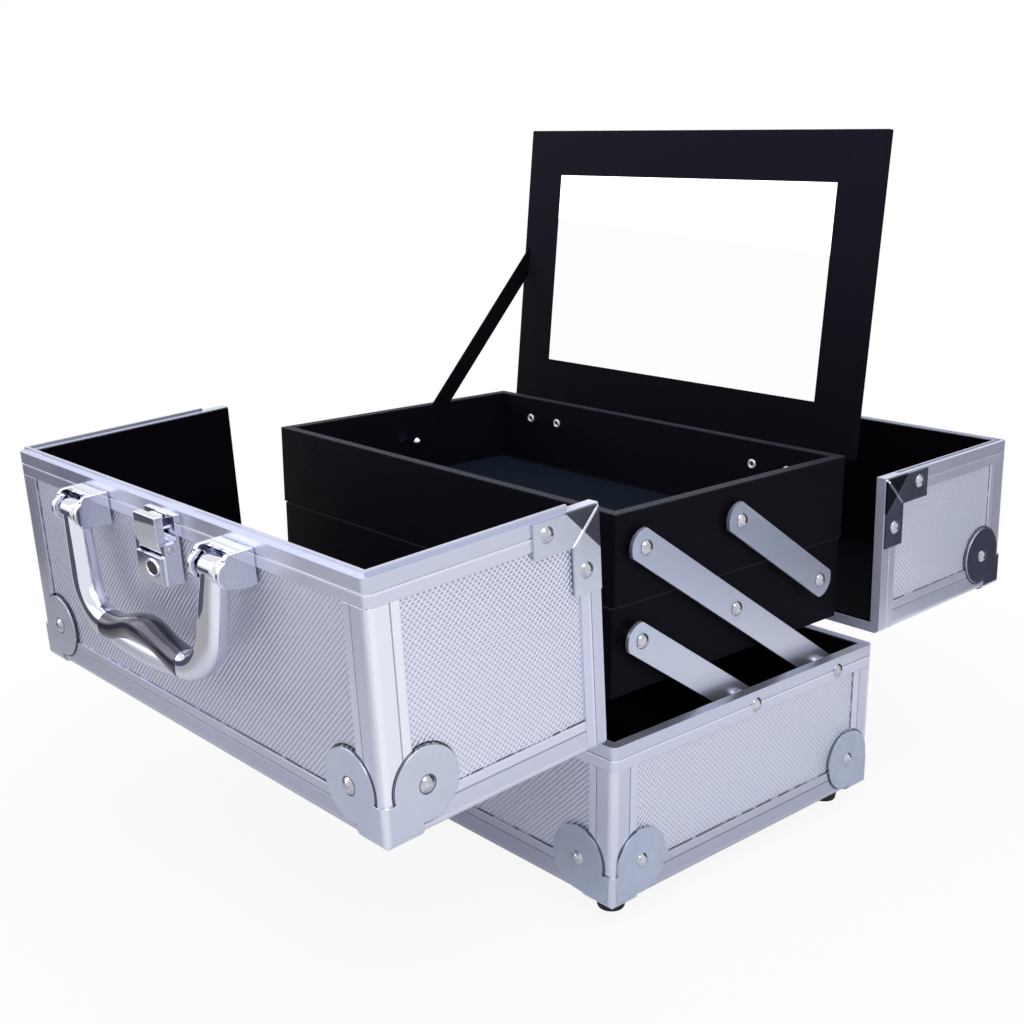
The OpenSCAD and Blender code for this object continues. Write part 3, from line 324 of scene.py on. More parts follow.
def in_shell(finish, side):
    """A point's x, depth from the outer face and height above the hinge rim of a shell, closed, in mm."""
    x, y, z = finish.object_place()
    turn = math.radians(OPEN[side])
    out = -1 if side == "front" else 1
    hinge_y = out * (HALF_W + HINGE_OUT) - ORIGIN_Y
    c, s = math.cos(turn), math.sin(turn)
    along = (y * c) + (z * s) - (hinge_y * c + RIM_Z * s)
    up = (z * c) - (y * s) - (RIM_Z * c - hinge_y * s)
    return x, along * -out - HINGE_OUT, up - RIM_GAP


def edge_distances(finish, place):
    """Distances in mm from the three outer faces of the base or of a shell that meet at a corner."""
    if place == "base":
        x, y, z = finish.object_place()
        return HALF_L - abs(x), HALF_W - abs(y + ORIGIN_Y), z - FOOT_H
    x, depth, up = in_shell(finish, place)
    return HALF_L - abs(x), depth, SHELL_H - up


def edges_and_ears(finish, place):
    """Distance from the nearest edge along a face, and distance from the nearest guard ear's centre, in mm.

    Of the three distances from the outer faces the least is 0 on the face itself, so the middle one is the
    distance from the nearest edge. The base's ears lie differently on its end and long faces, so the nearer
    of the two counts there, and a point off an ear's face counts as far away.
    """
    a, b, c = edge_distances(finish, place)
    near = a.min(b).max(a.max(b).min(c))
    end, side = EARS[place]
    if place == "base":
        on_end = distance(b, c, end) + a * OFF_FACE
        on_side = distance(a, c, side) + b * OFF_FACE
        return near, on_end.min(on_side)
    return near, distance(near, a.max(b).max(c), end)


def extrusion(place):
    """Satin silver extrusion: a painted highlight on the rounded edge, a groove darkened with painted shade, an
    inner strip and painted shadows at the guards.

    The bars of the handle wall and the base's lower bars are darker with painted shade, and the front shell's
    upright posts are paler on its end faces with painted light.
    """
    finish = Finish("silver_extrusion_" + place, SILVER, 0.32, SILVER_METAL[place])
    near, ear = edges_and_ears(finish, place)
    groove = near.band(GROOVE_AT, 0.12, 0.22)
    inner = near.step(GROOVE_AT + 0.1, GROOVE_AT + 0.4)
    # Painted highlight along the rounded outer edge
    edge = near.step(3.4, 2.4)
    shadow = ear.band(*EAR_SHADOW)
    grain = finish.noise(60, 4.0)
    drawn = finish.noise(30, 2.0, stretch=(1.0, 1.0, 0.05))
    base = finish.mix(inner * 0.7 + (grain - 0.5) * 0.25, (0.60, 0.62, 0.75), (0.71, 0.73, 0.86))
    base = finish.mix(edge * 0.6, base, (0.78, 0.79, 0.88))
    end, depth, drop = edge_distances(finish, place)
    face, leg = (0.8, 0.4), (EDGE_LEG + 0.5, EDGE_LEG - 0.5)
    if place == "front":
        # Painted shade on the bars of the handle wall, and painted light on the posts' end faces
        bar = drop.step(*face) * depth.step(*leg)
        lit_post = end.step(*face) * depth.step(*leg[::-1])
        base = finish.mix(bar * 0.28, base, PAINTED_SHADE_TONE)
        base = finish.mix(lit_post * 0.6, base, (0.93, 0.94, 1.0))
    elif place == "base":
        # Painted shade on the base's lower bars, towards the floor
        base = finish.mix(drop.step(*leg) * 0.28, base, PAINTED_SHADE_TONE)
    # Painted shade in the groove, and painted shadow round the guards' ears
    base = finish.mix((groove * 0.5).max(shadow * 0.95), base, (0.06, 0.06, 0.08))
    finish.set(**{"Base Color": base, "Roughness": drawn * 0.14 + 0.24})
    finish.bump((inner * 0.5 - groove * 0.9) + grain * 0.03, 0.0004, 0.6)
    return finish.material


def rim(place):
    """Satin silver rim bar: a dull outer band, a painted highlight line beside its groove, and long draw lines.
    """
    finish = Finish("silver_rim_" + place, SILVER, 0.3, SILVER_METAL[place])
    grain = finish.noise(45, 3.0)
    if place == "base":
        drop = finish.object_place()[2] * -1 + RIM_Z
    else:
        x, depth, up = in_shell(finish, place)
        drop = up.min(depth * -1 + DEPTHS[place])
    line = drop.band(RIM_HIGHLIGHT_AT, 0.25, 0.3)
    band = drop.step(RIM_HIGHLIGHT_AT - 0.3, RIM_HIGHLIGHT_AT - 0.9)
    base = finish.mix(grain * 0.5, (0.61, 0.63, 0.77), (0.71, 0.73, 0.86))
    base = finish.mix(band * 0.4, base, (0.50, 0.53, 0.66))
    # Painted highlight: the bright line beside the groove
    base = finish.mix(line * 0.7, base, (0.85, 0.86, 0.93))
    finish.set(**{"Base Color": base, "Roughness": grain * 0.12 + 0.24})
    finish.bump(grain, 0.0001, 0.4)
    return finish.material


def pressed_panel(place, face):
    """Pressed skin: two sets of diagonal ribs cross in small raised diamonds, one set the stronger.

    The height is the weighted mean of two triangle waves along the diagonals of the face.
    """
    finish = Finish("patterned_panel_%s_%s" % (place, face), (0.62, 0.64, 0.78), 0.36, 0.7)
    if place == "base":
        x, y, z = finish.object_place()
    else:
        x, y, z = in_shell(finish, place)
    across, up = {"end": (y, z), "long": (x, z), "top": (x, y)}[face]
    turn = math.sqrt(0.5)
    first = ((across + up) * turn).wave(RIB_PITCH)
    second = ((across - up) * turn).wave(RIB_PITCH)
    share = RIB_SHARES[place, face]
    height = first * share + second * (1 - share)
    shaded_valley = height.step(0.45, 0.15)
    near, ear = edges_and_ears(finish, place)
    line = near.band(EDGE_LEG + 0.2, 0.15, 0.2)
    shadow = ear.band(*EAR_SHADOW)
    dashed_shadow = finish.noise(260, 1.0).step(0.40, 0.5)
    smudge = finish.noise(14, 3.0)
    base = finish.mix(smudge * 0.4, (0.80, 0.82, 0.95), (0.71, 0.73, 0.88))
    # Painted shade in the valleys between the ribs
    base = finish.mix(shaded_valley * 0.6, base, (0.24, 0.26, 0.37))
    # Painted shade on whole faces: the handle wall's panel and the base's long panels
    base = finish.mix(PANEL_PAINTED_SHADE.get((place, face), 0.0), base, PAINTED_SHADE_TONE)
    # Painted shadow: a dashed dark line where the extrusions' lips overlap the panel, and round the guards'
    # ears
    base = finish.mix((line * dashed_shadow * 0.9).max(shadow * 0.95), base, (0.03, 0.03, 0.04))
    finish.set(**{"Base Color": base, "Roughness": smudge * 0.16 + 0.28})
    finish.bump(height, 0.0005, 0.8)
    return finish.material


def chrome():
    """Polished plating, with faint smears and a very slight waviness."""
    finish = Finish("chrome", (0.74, 0.75, 0.84), 0.08, 1.0)
    smear = finish.noise(30, 4.0)
    finish.set(Roughness=smear.step(0.35, 0.8) * 0.12 + 0.04)
    finish.bump(finish.noise(120, 2.0), 0.0001, 0.15)
    return finish.material


def satin_bow():
    """Satin plating under the grip, paler than the polished bail."""
    finish = Finish("satin_bow", (0.66, 0.67, 0.78), 0.4, 0.8)
    finish.set(Roughness=finish.noise(60, 3.0) * 0.15 + 0.33)
    return finish.material


def bright_nickel():
    """Rubbed nickel of the eyelets, half diffuse so that it shows inside the dark tray."""
    finish = Finish("bright_nickel", (0.85, 0.85, 0.88), 0.3, 0.4)
    rub = finish.noise(900, 3.0)
    finish.set(**{"Base Color": finish.mix(rub, (0.70, 0.70, 0.74), (0.95, 0.95, 0.97)),
                  "Roughness": rub * 0.2 + 0.2})
    return finish.material


def rivet_plating():
    """Nickel-grey plating of the rivet heads, a little duller than chrome."""
    finish = Finish("rivet_plating", (0.62, 0.62, 0.68), 0.12, 1.0)
    dull = finish.noise(400, 3.0)
    finish.set(**{"Base Color": finish.mix(dull.step(0.3, 0.8), (0.42, 0.42, 0.48), (0.64, 0.64, 0.70)),
                  "Roughness": dull * 0.12 + 0.06})
    return finish.material


def guard_plate(place):
    """Plated pressing of the corner guards: blue-grey, finely scratched, with a painted highlight along the
    corner edge and a painted shadow line round each rivet; the front shell's are painted paler.

    The corner plates have a painted dark reflection in a triangle in their corner, and a painted highlight runs
    along the diagonal fold.
    """
    finish = Finish("guard_plate_" + place, (0.47, 0.52, 0.63), 0.2, 0.95)
    rub = finish.noise(50, 5.0, roughness=0.65)
    near, ear = edges_and_ears(finish, place)
    base = finish.mix(rub.step(0.3, 0.7), (0.45, 0.50, 0.61), (0.51, 0.56, 0.68))
    if place == "front":
        # Painted light: the front shell's guards paler than the others
        base = finish.mix(0.16, base, (0.90, 0.90, 1.0))
    # Painted highlight along the corner edge
    base = finish.mix(near.step(1.9, 0.7) * 0.45, base, (0.88, 0.89, 0.98))
    # Painted shadow line round each rivet
    base = finish.mix(ear.band(RIVET_R + 0.15, 0.15, 0.25) * 0.85, base, (0.05, 0.05, 0.07))
    if place != "base":
        x, depth, up = in_shell(finish, place)
        u = depth * -1 + DEPTHS[place]
        # Painted reflection: a dark triangle in the corner, and a painted highlight along the diagonal fold
        painted_dark_reflection = (u + up).step(REFLECTION_LEG + 0.3, REFLECTION_LEG - 0.3)
        fold_highlight = (u - up).band(0, 0.35, 0.55) * (u * -1 + PLATE_BAND).step(0, 0.3)
        base = finish.mix(painted_dark_reflection * 0.93, base, (0.03, 0.035, 0.055))
        base = finish.mix(fold_highlight * 0.9, base, (0.85, 0.86, 0.93))
    finish.set(**{"Base Color": base, "Roughness": rub * 0.12 + 0.12})
    finish.bump(rub, 0.0001, 0.2)
    return finish.material


def plated_hinge():
    """Bright plated hinge steel with rolling marks along the knuckles."""
    finish = Finish("hinge_steel", (0.62, 0.62, 0.70), 0.28, 0.9)
    marks = finish.noise(40, 4.0, stretch=(1.0, 8.0, 8.0))
    finish.set(Roughness=marks * 0.2 + 0.2)
    finish.bump(marks, 0.0001, 0.3)
    return finish.material


def arm_steel():
    """Satin blue-grey lift arms, brushed along their length, paler towards their lower ends."""
    tilt = math.radians(34)
    finish = Finish("arm_steel", (0.42, 0.46, 0.60), 0.34, 0.8)
    where = finish.node("ShaderNodeTexCoord", output="Object")
    inputs = {"Vector": where, "Rotation": (tilt, 0.0, 0.0), "Scale": (40.0, 30.0, 900.0)}
    turned = finish.node("ShaderNodeMapping", inputs=inputs)
    brushed = finish.node("ShaderNodeTexNoise", inputs={"Vector": turned, "Scale": 1.0, "Detail": 2.0})
    low = finish.object_place()[2].step(130.0, 70.0)
    base = finish.mix(low, (0.51, 0.56, 0.72), (0.62, 0.64, 0.76))
    base = finish.mix(brushed * 0.3, base, (0.41, 0.45, 0.58))
    finish.set(**{"Base Color": base, "Roughness": brushed * 0.12 + 0.26})
    finish.bump(brushed, 0.0001, 0.25)
    return finish.material


def black_skin(name, colour, roughness, grain_mm, depth, lit_edges=()):
    """Black covering with a fine leather-like grain: rounded cells with creases between them.

    Level edges at the given heights in mm get a painted highlight, a little paler.
    """
    finish = Finish(name, colour, roughness, Specular_IOR_Level=BLACK_SPECULAR)
    cells = finish.cells(1 / (grain_mm * MM))
    broad = finish.noise(25, 3.0)
    lift = tuple(min(1.0, c * 1.6 + 0.0005) for c in colour)
    base = finish.mix(broad * 0.7 + cells * 0.3, colour, lift)
    z = finish.object_place()[2]
    for level in lit_edges:
        # Painted highlight along the level top edges
        base = finish.mix(z.band(level, 0.25, 0.3) * (broad * 0.6 + 0.5), base, (0.040, 0.040, 0.055))
    finish.set(**{"Base Color": base, "Roughness": broad * 0.2 + (roughness - 0.1)})
    finish.bump(cells.step(0.0, 0.9), depth, 0.4)
    return finish.material


def lid_skin():
    """The lid's black covering, painted paler towards the top edge as painted light."""
    finish = Finish("lid_black", (0.006, 0.006, 0.011), 0.6, Specular_IOR_Level=BLACK_SPECULAR)
    cells = finish.cells(2200.0)
    # Painted light: paler towards the top, with a little variation from the grain's cells
    bloom_and_painted_light = finish.object_place()[2].step(*LID_RISE) * 0.8 + cells * 0.1
    finish.set(**{"Base Color": finish.mix(bloom_and_painted_light, (0.0022, 0.0020, 0.0045), (0.0100, 0.0090, 0.0180))})
    finish.bump(cells.step(0.0, 0.9), 0.0002, 0.3)
    return finish.material


def felt():
    """Blue-black felt: short fibres as fine noise, and a soft sheen."""
    finish = Finish("tray_pad", (0.003, 0.006, 0.012), 0.9, Specular_IOR_Level=BLACK_SPECULAR)
    fibre = finish.noise(900, 3.0, roughness=0.7)
    patch = finish.noise(30, 2.0)
    base = finish.mix(fibre * 0.6 + patch * 0.4, (0.0020, 0.0040, 0.0090), (0.0065, 0.0105, 0.0190))
    finish.set(**{"Base Color": base})
    finish.bump(fibre, 0.0003, 0.5)
    return finish.material


def mirror_silver():
    """Clear mirror, with the faintest film."""
    finish = Finish("mirror", (0.985, 0.985, 0.99), 0.01, 1.0)
    finish.set(Roughness=finish.noise(12, 2.0).step(0.5, 0.9) * 0.02 + 0.005)
    return finish.material


def woven_strap():
    """Black webbing: a small basket weave as the product of two waves."""
    finish = Finish("strap_black", (0.003, 0.003, 0.006), 0.7, Specular_IOR_Level=BLACK_SPECULAR)
    x, y, z = finish.object_place()
    weave = (y + z).wave(0.9) * (y - z).wave(0.9)
    base = finish.mix(weave, (0.0020, 0.0020, 0.0040), (0.0080, 0.0075, 0.0120))
    finish.set(**{"Base Color": base})
    finish.bump(weave, 0.0003, 0.6)
    return finish.material


def grip_gloss():
    """Dark grey glossy grip, a smoky moulding with faint flow marks."""
    finish = Finish("grip_dark", (0.055, 0.052, 0.085), 0.14, 0.75, Coat_Weight=0.3, Coat_Roughness=0.04)
    flow = finish.noise(35, 3.0, stretch=(0.4, 1.0, 1.0))
    base = finish.mix(flow, (0.035, 0.033, 0.055), (0.080, 0.075, 0.110))
    finish.set(**{"Base Color": base, "Roughness": flow * 0.12 + 0.10})
    return finish.material


def foot_rubber():
    """Matt black rubber with a faint whitish haze."""
    finish = Finish("foot_rubber", (0.018, 0.018, 0.020), 0.75)
    # Here only the rubber's own bloom, no painted light
    bloom_and_painted_light = finish.noise(200, 3.0)
    finish.set(**{"Base Color": finish.mix(bloom_and_painted_light, (0.012, 0.012, 0.014), (0.035, 0.035, 0.038))})
    finish.bump(bloom_and_painted_light, 0.0002, 0.4)
    return finish.material


FINISHES = {
    **{"rim_" + p: rim(p) for p in ("base", "front", "rear")},
    **{"extrusion_" + p: extrusion(p) for p in ("base", "front", "rear")},
    **{"panel_%s_%s" % (p, f): pressed_panel(p, f) for p in ("base", "front", "rear")
       for f in ("end", "long", "top") if (p, f) != ("base", "top")},
    "chrome": chrome(),
    "rivet": rivet_plating(),
    "nickel": bright_nickel(),
    "bow": satin_bow(),
    **{"guard_" + p: guard_plate(p) for p in ("base", "front", "rear")},
    "hinge": plated_hinge(),
    "arm": arm_steel(),
    "lining": black_skin("black_lining", (0.0010, 0.0008, 0.0024), 0.75, 0.5, 0.0002),
    "tray": black_skin("tray_black", (0.0030, 0.0028, 0.0058), 0.55, 0.45, 0.0002, TRAY_TOPS),
    "lid": lid_skin(),
    "board": black_skin("bottom_board", (0.030, 0.030, 0.034), 0.7, 0.8, 0.0003),
    "pad": felt(),
    "mirror": mirror_silver(),
    "strap": woven_strap(),
    "grip": grip_gloss(),
    "foot": foot_rubber(),
}

# What each node is finished in, and the bevel of its edges in millimetres, 0 for sharp ones
DRESS = {
    "base_floor": ("board", 0.0),
    "base_front_panel": ("panel_base_long", 0.0),
    "base_rear_panel": ("panel_base_long", 0.0),
    "base_end_panels": ("panel_base_end", 0.0),
    "base_lining": ("lining", 0.0),
    "base_rim_frame": ("rim_base", 0.25),
    "base_corner_posts": ("extrusion_base", 0.2),
    "base_bottom_frame": ("extrusion_base", 0.2),
    "base_corner_guards": ("guard_base", 0.2),
    "base_guard_rivets": ("rivet", 0.0),
    "base_feet": ("foot", 0.8),
    "base_hinge_leaves": ("hinge", 0.2),
    "arm_base_rivets": ("rivet", 0.0),
    "front_handle_panel": ("panel_front_top", 0.0),
    "front_outer_panel": ("panel_front_long", 0.0),
    "front_end_panels": ("panel_front_end", 0.0),
    "front_lining": ("lining", 0.0),
    "front_split_rim": ("rim_front", 0.25),
    "front_hinge_rim": ("rim_front", 0.25),
    "front_edge_frame": ("extrusion_front", 0.2),
    "front_corner_guards": ("guard_front", 0.2),
    "front_corner_plates": ("guard_front", 0.0),
    "front_rivets": ("rivet", 0.0),
    "front_hinge_leaves": ("hinge", 0.2),
    "front_hinge_pins": ("hinge", 0.1),
    "lock_body": ("chrome", 0.4),
    "lock_latch": ("chrome", 0.3),
    "rear_top_panel": ("panel_rear_top", 0.0),
    "rear_outer_panel": ("panel_rear_long", 0.0),
    "rear_end_panels": ("panel_rear_end", 0.0),
    "rear_lining": ("lining", 0.0),
    "rear_split_rim": ("rim_rear", 0.25),
    "rear_hinge_rim": ("rim_rear", 0.25),
    "rear_edge_frame": ("extrusion_rear", 0.2),
    "rear_corner_guards": ("guard_rear", 0.2),
    "rear_corner_plates": ("guard_rear", 0.0),
    "rear_rivets": ("rivet", 0.0),
    "rear_hinge_leaves": ("hinge", 0.2),
    "rear_hinge_pins": ("hinge", 0.1),
    "lock_strike": ("chrome", 0.2),
    "long_arms": ("arm", 0.3),
    "lower_arms": ("arm", 0.3),
    "upper_arms": ("arm", 0.3),
    "lower_tray_walls": ("tray", 0.5),
    "lower_tray_floor": ("lining", 0.0),
    "lower_tray_rivets": ("rivet", 0.0),
    "upper_tray_walls": ("tray", 0.5),
    "upper_tray_floor": ("lining", 0.0),
    "upper_tray_pad": ("pad", 0.5),
    "upper_tray_rivets": ("rivet", 0.0),
    "tray_hinge_leaves": ("hinge", 0.15),
    "lid_board": ("lid", 0.4),
    "lid_frame": ("lid", 0.3),
    "mirror_glass": ("mirror", 0.0),
    "lid_hinge_leaves": ("hinge", 0.15),
    "lid_hinge_pins": ("hinge", 0.1),
    "lid_strap": ("strap", 0.0),
}
# The body that each node rides on, from the record's bodies
BODY_OF = {node: body for body, nodes in frame["record"]["behaviour"]["bodies"].items() for node in nodes}


def enter(piece, finish, body, *nodes):
    """Adds a piece to the scene in its finish, riding on a body and standing for CAD nodes."""
    piece.data.materials.clear()
    piece.data.materials.append(FINISHES[finish])
    if piece.name not in bpy.context.scene.collection.objects:
        bpy.context.scene.collection.objects.link(piece)
    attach(piece, body)
    if nodes:
        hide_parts(*nodes)
    return piece


def smooth_by_angle(mesh, degrees):
    """Shades a mesh smooth, with its sharp edges kept sharp."""
    mesh.polygons.foreach_set("use_smooth", np.ones(len(mesh.polygons), bool))
    mesh.set_sharp_from_angle(angle=math.radians(degrees))
    mesh.update()


def welded(node):
    """Copy of a CAD node's mesh with its loose triangles joined and flat faces made whole."""
    mesh = NODES[node].data.copy()
    work = bmesh.new()
    work.from_mesh(mesh)
    bmesh.ops.remove_doubles(work, verts=work.verts, dist=WELD)
    bmesh.ops.dissolve_limit(work, angle_limit=math.radians(FLAT), verts=work.verts, edges=work.edges,
                             delimit={"NORMAL"})
    work.to_mesh(mesh)
    work.free()
    for name in [a.name for a in mesh.attributes if a.name in ("custom_normal", "sharp_face")]:
        mesh.attributes.remove(mesh.attributes[name])
    return mesh


def dress(node, finish, bevel_mm):
    """Dresses a CAD node with a welded copy, its sharp edges bevelled."""
    mesh = welded(node)
    smooth_by_angle(mesh, SHARP_SOLID)
    piece = bpy.data.objects.new(node + ".skin", mesh)
    return bevelled(enter(piece, finish, BODY_OF[node], node), bevel_mm)


def bevelled(piece, bevel_mm):
    """Rounds a piece's sharp edges, and leaves them for a width of 0."""
    if bevel_mm:
        bevel = piece.modifiers.new("edges", "BEVEL")
        bevel.width = bevel_mm * MM
        bevel.segments = 2
        bevel.limit_method = "ANGLE"
        bevel.angle_limit = math.radians(SHARP_BEVEL)
        bevel.use_clamp_overlap = True
        bevel.harden_normals = True
    return piece


def surface(name, points, finish, body, *nodes, caps=True):
    """A tube from an array of rings: each ring's points join the next's, and caps close its ends.

    Rings that would leave it inside out are turned round.
    """
    rings, sides, _ = points.shape
    first, last = points[0] - points[0].mean(axis=0), points[-1].mean(axis=0) - points[0].mean(axis=0)
    if np.cross(first, np.roll(first, -1, axis=0)).sum(axis=0) @ last > 0:
        points = points[:, ::-1]
    i, j = np.meshgrid(np.arange(rings - 1), np.arange(sides), indexing="ij")
    k = (j + 1) % sides
    quads = np.stack([i * sides + j, i * sides + k, (i + 1) * sides + k, (i + 1) * sides + j], axis=-1)
    faces = quads.reshape(-1, 4).tolist()
    if caps:
        faces.append(list(range(sides))[::-1])
        faces.append([(rings - 1) * sides + s for s in range(sides)])
    mesh = bpy.data.meshes.new(name)
    mesh.from_pydata(points.reshape(-1, 3).tolist(), [], faces)
    smooth_by_angle(mesh, SHARP_SURFACE)
    return enter(bpy.data.objects.new(name, mesh), finish, body, *nodes)


def swept(path, half_in, half_out, bulge, sides=40):
    """Rings of a superellipse carried along a path in the plane of X and Z.

    A ring at angle t lies half_in * sgn(cos t)|cos t|^(2 / bulge) along the path's normal in that plane and
    half_out * sgn(sin t)|sin t|^(2 / bulge) along Y.
    """
    tangent = np.gradient(path, axis=0)
    tangent /= np.linalg.norm(tangent, axis=1)[:, None]
    normal = np.stack([tangent[:, 2], np.zeros(len(path)), -tangent[:, 0]], axis=1)
    t = np.linspace(0, 2 * np.pi, sides, endpoint=False)
    c = np.sign(np.cos(t)) * np.abs(np.cos(t)) ** (2 / bulge)
    s = np.sign(np.sin(t)) * np.abs(np.sin(t)) ** (2 / bulge)
    ring = half_in[:, None, None] * c[None, :, None] * normal[:, None, :]
    ring = ring + half_out[:, None, None] * s[None, :, None] * np.array([0.0, 1.0, 0.0])
    return path[:, None, :] + ring


def opened(x, inward, high):
    """Points on the open front shell, from x, the distance inward from the split and the height on it."""
    turn = math.radians(OPEN["front"])
    along = DEPTHS["front"] - inward + HINGE_OUT
    up = SHELL_H + high + RIM_GAP
    y = -(HALF_W + HINGE_OUT) - ORIGIN_Y + along * math.cos(turn) - up * math.sin(turn)
    z = RIM_Z + along * math.sin(turn) + up * math.cos(turn)
    return np.stack(np.broadcast_arrays(x, y, z), axis=-1) * MM


def prism(name, outline, x_from, x_to, finish, bevel_mm, *nodes):
    """An outline of inward and high places on the handle wall, carried along X, with its edges bevelled."""
    x = np.array([x_from, x_to])[:, None]
    piece = surface(name, opened(x, outline[None, :, 0], outline[None, :, 1]), finish, "front_shell", *nodes)
    return bevelled(piece, bevel_mm)


def brackets():
    """Two open saddles: a low web along the split side and two cheeks with round ends about the pivot."""
    u0, u1, u_web = BRACKET_IN, BRACKET_IN + BRACKET_L, BRACKET_IN + BRACKET_T
    shoulder = PIVOT[1] + BRACKET_T
    a = np.radians(np.linspace(CHEEK_START, 0, 22))
    head = np.array(PIVOT) + CHEEK_R * np.stack([np.cos(a), np.sin(a)], axis=1)
    cheek = np.concatenate([
        [(u0, 0), (u0, shoulder - CHEEK_CHAMFER), (u0 + CHEEK_CHAMFER, shoulder)],
        head,
        [(u1, CHEEK_INNER_H), (u1, 0)],
    ])
    web = np.array([
        (u0, 0), (u0, WEB_H - WEB_CHAMFER), (u0 + WEB_CHAMFER, WEB_H), (u_web, WEB_H), (u_web, 0),
    ])
    foot = np.array([(u0, 0), (u0, FOOT_PLATE_H), (u1, FOOT_PLATE_H), (u1, 0)])
    half = BRACKET_W / 2
    inner = half - BRACKET_T / 2
    for side, name in ((1, "right"), (-1, "left")):
        middle = side * HANDLE_X
        nodes = ["handle_brackets"] if side > 0 else []
        prism("bracket_foot_" + name, foot, middle - inner, middle + inner, "chrome", 0.3, *nodes)
        prism("bracket_web_" + name, web, middle - inner, middle + inner, "chrome", 0.35)
        for edge in (1, -1):
            outer = middle + edge * half
            key = "bracket_cheek_%s_%s" % (name, "out" if edge * side > 0 else "in")
            prism(key, cheek, outer, outer - edge * BRACKET_T, "chrome", 0.45)
        knuckle(name, middle)


def knuckle(name, middle):
    """Barrel of the bail between the cheeks, on the handle's pivot line.

    Its radius r at s, as shares, follows s^8 + r^4 = 1, and its ends are flat.
    """
    s = np.linspace(-1, 1, 21)
    radius = KNUCKLE_R * (1 - np.abs(s) ** 8) ** 0.25
    radius[[0, -1]] = KNUCKLE_R * KNUCKLE_END
    t = np.linspace(0, 2 * np.pi, 40, endpoint=False)
    circle = np.stack([0 * t, np.cos(t), np.sin(t)], axis=1)
    line = np.stack([middle + s * KNUCKLE_HALF, 0 * s + HANDLE_AXIS[0], 0 * s + HANDLE_AXIS[1]], axis=1)
    points = line[:, None, :] + radius[:, None, None] * circle[None, :, :]
    surface("knuckle_" + name, points * MM, "chrome", "handle")


def rolled_ring(half_long, half_high, wire, steps):
    """An elliptic ring with a round section: its places along both half lengths, and its rise."""
    t = np.linspace(0, 2 * np.pi, steps)[:, None]
    a = np.linspace(0, 2 * np.pi, 12, endpoint=False)[None, :]
    long = (half_long + wire * np.cos(a)) * np.cos(t)
    high = (half_high + wire * np.cos(a)) * np.sin(t)
    return long, high, wire * np.sin(a) + 0 * t


def keyhole():
    """Oval keyhole: a raised chrome ring about a black bowl."""
    x, inward, rise = rolled_ring(*KEYHOLE_HALF, KEYHOLE_WIRE, 49)
    ring = opened(KEYHOLE_X + x, KEYHOLE_IN + inward, LOCK_H + rise)
    surface("keyhole_ring", ring, "chrome", "front_shell", caps=False)
    t = np.linspace(0, 2 * np.pi, 48, endpoint=False)
    share = np.linspace(1, 0.02, 8)[:, None]
    x = KEYHOLE_X + KEYHOLE_HALF[0] * share * np.cos(t)
    inward = KEYHOLE_IN + KEYHOLE_HALF[1] * share * np.sin(t)
    bowl = opened(x, inward, LOCK_H + BOWL_RISE * (1 - share**2))
    surface("keyhole_core", bowl, "foot", "front_shell")


def eyelets():
    """Rolled rims of the lid hinge rivets, inside the tray."""
    y, z = EYELET_PLACE
    across, high, rise = rolled_ring(EYELET_R, EYELET_R, EYELET_WIRE, 33)
    for number, x in enumerate(EYELET_X):
        points = np.stack([x + across, y - EYELET_OFF - rise, z + high], axis=2)
        surface("eyelet_%d" % (number + 1), points * MM, "nickel", "upper_tray", caps=False)


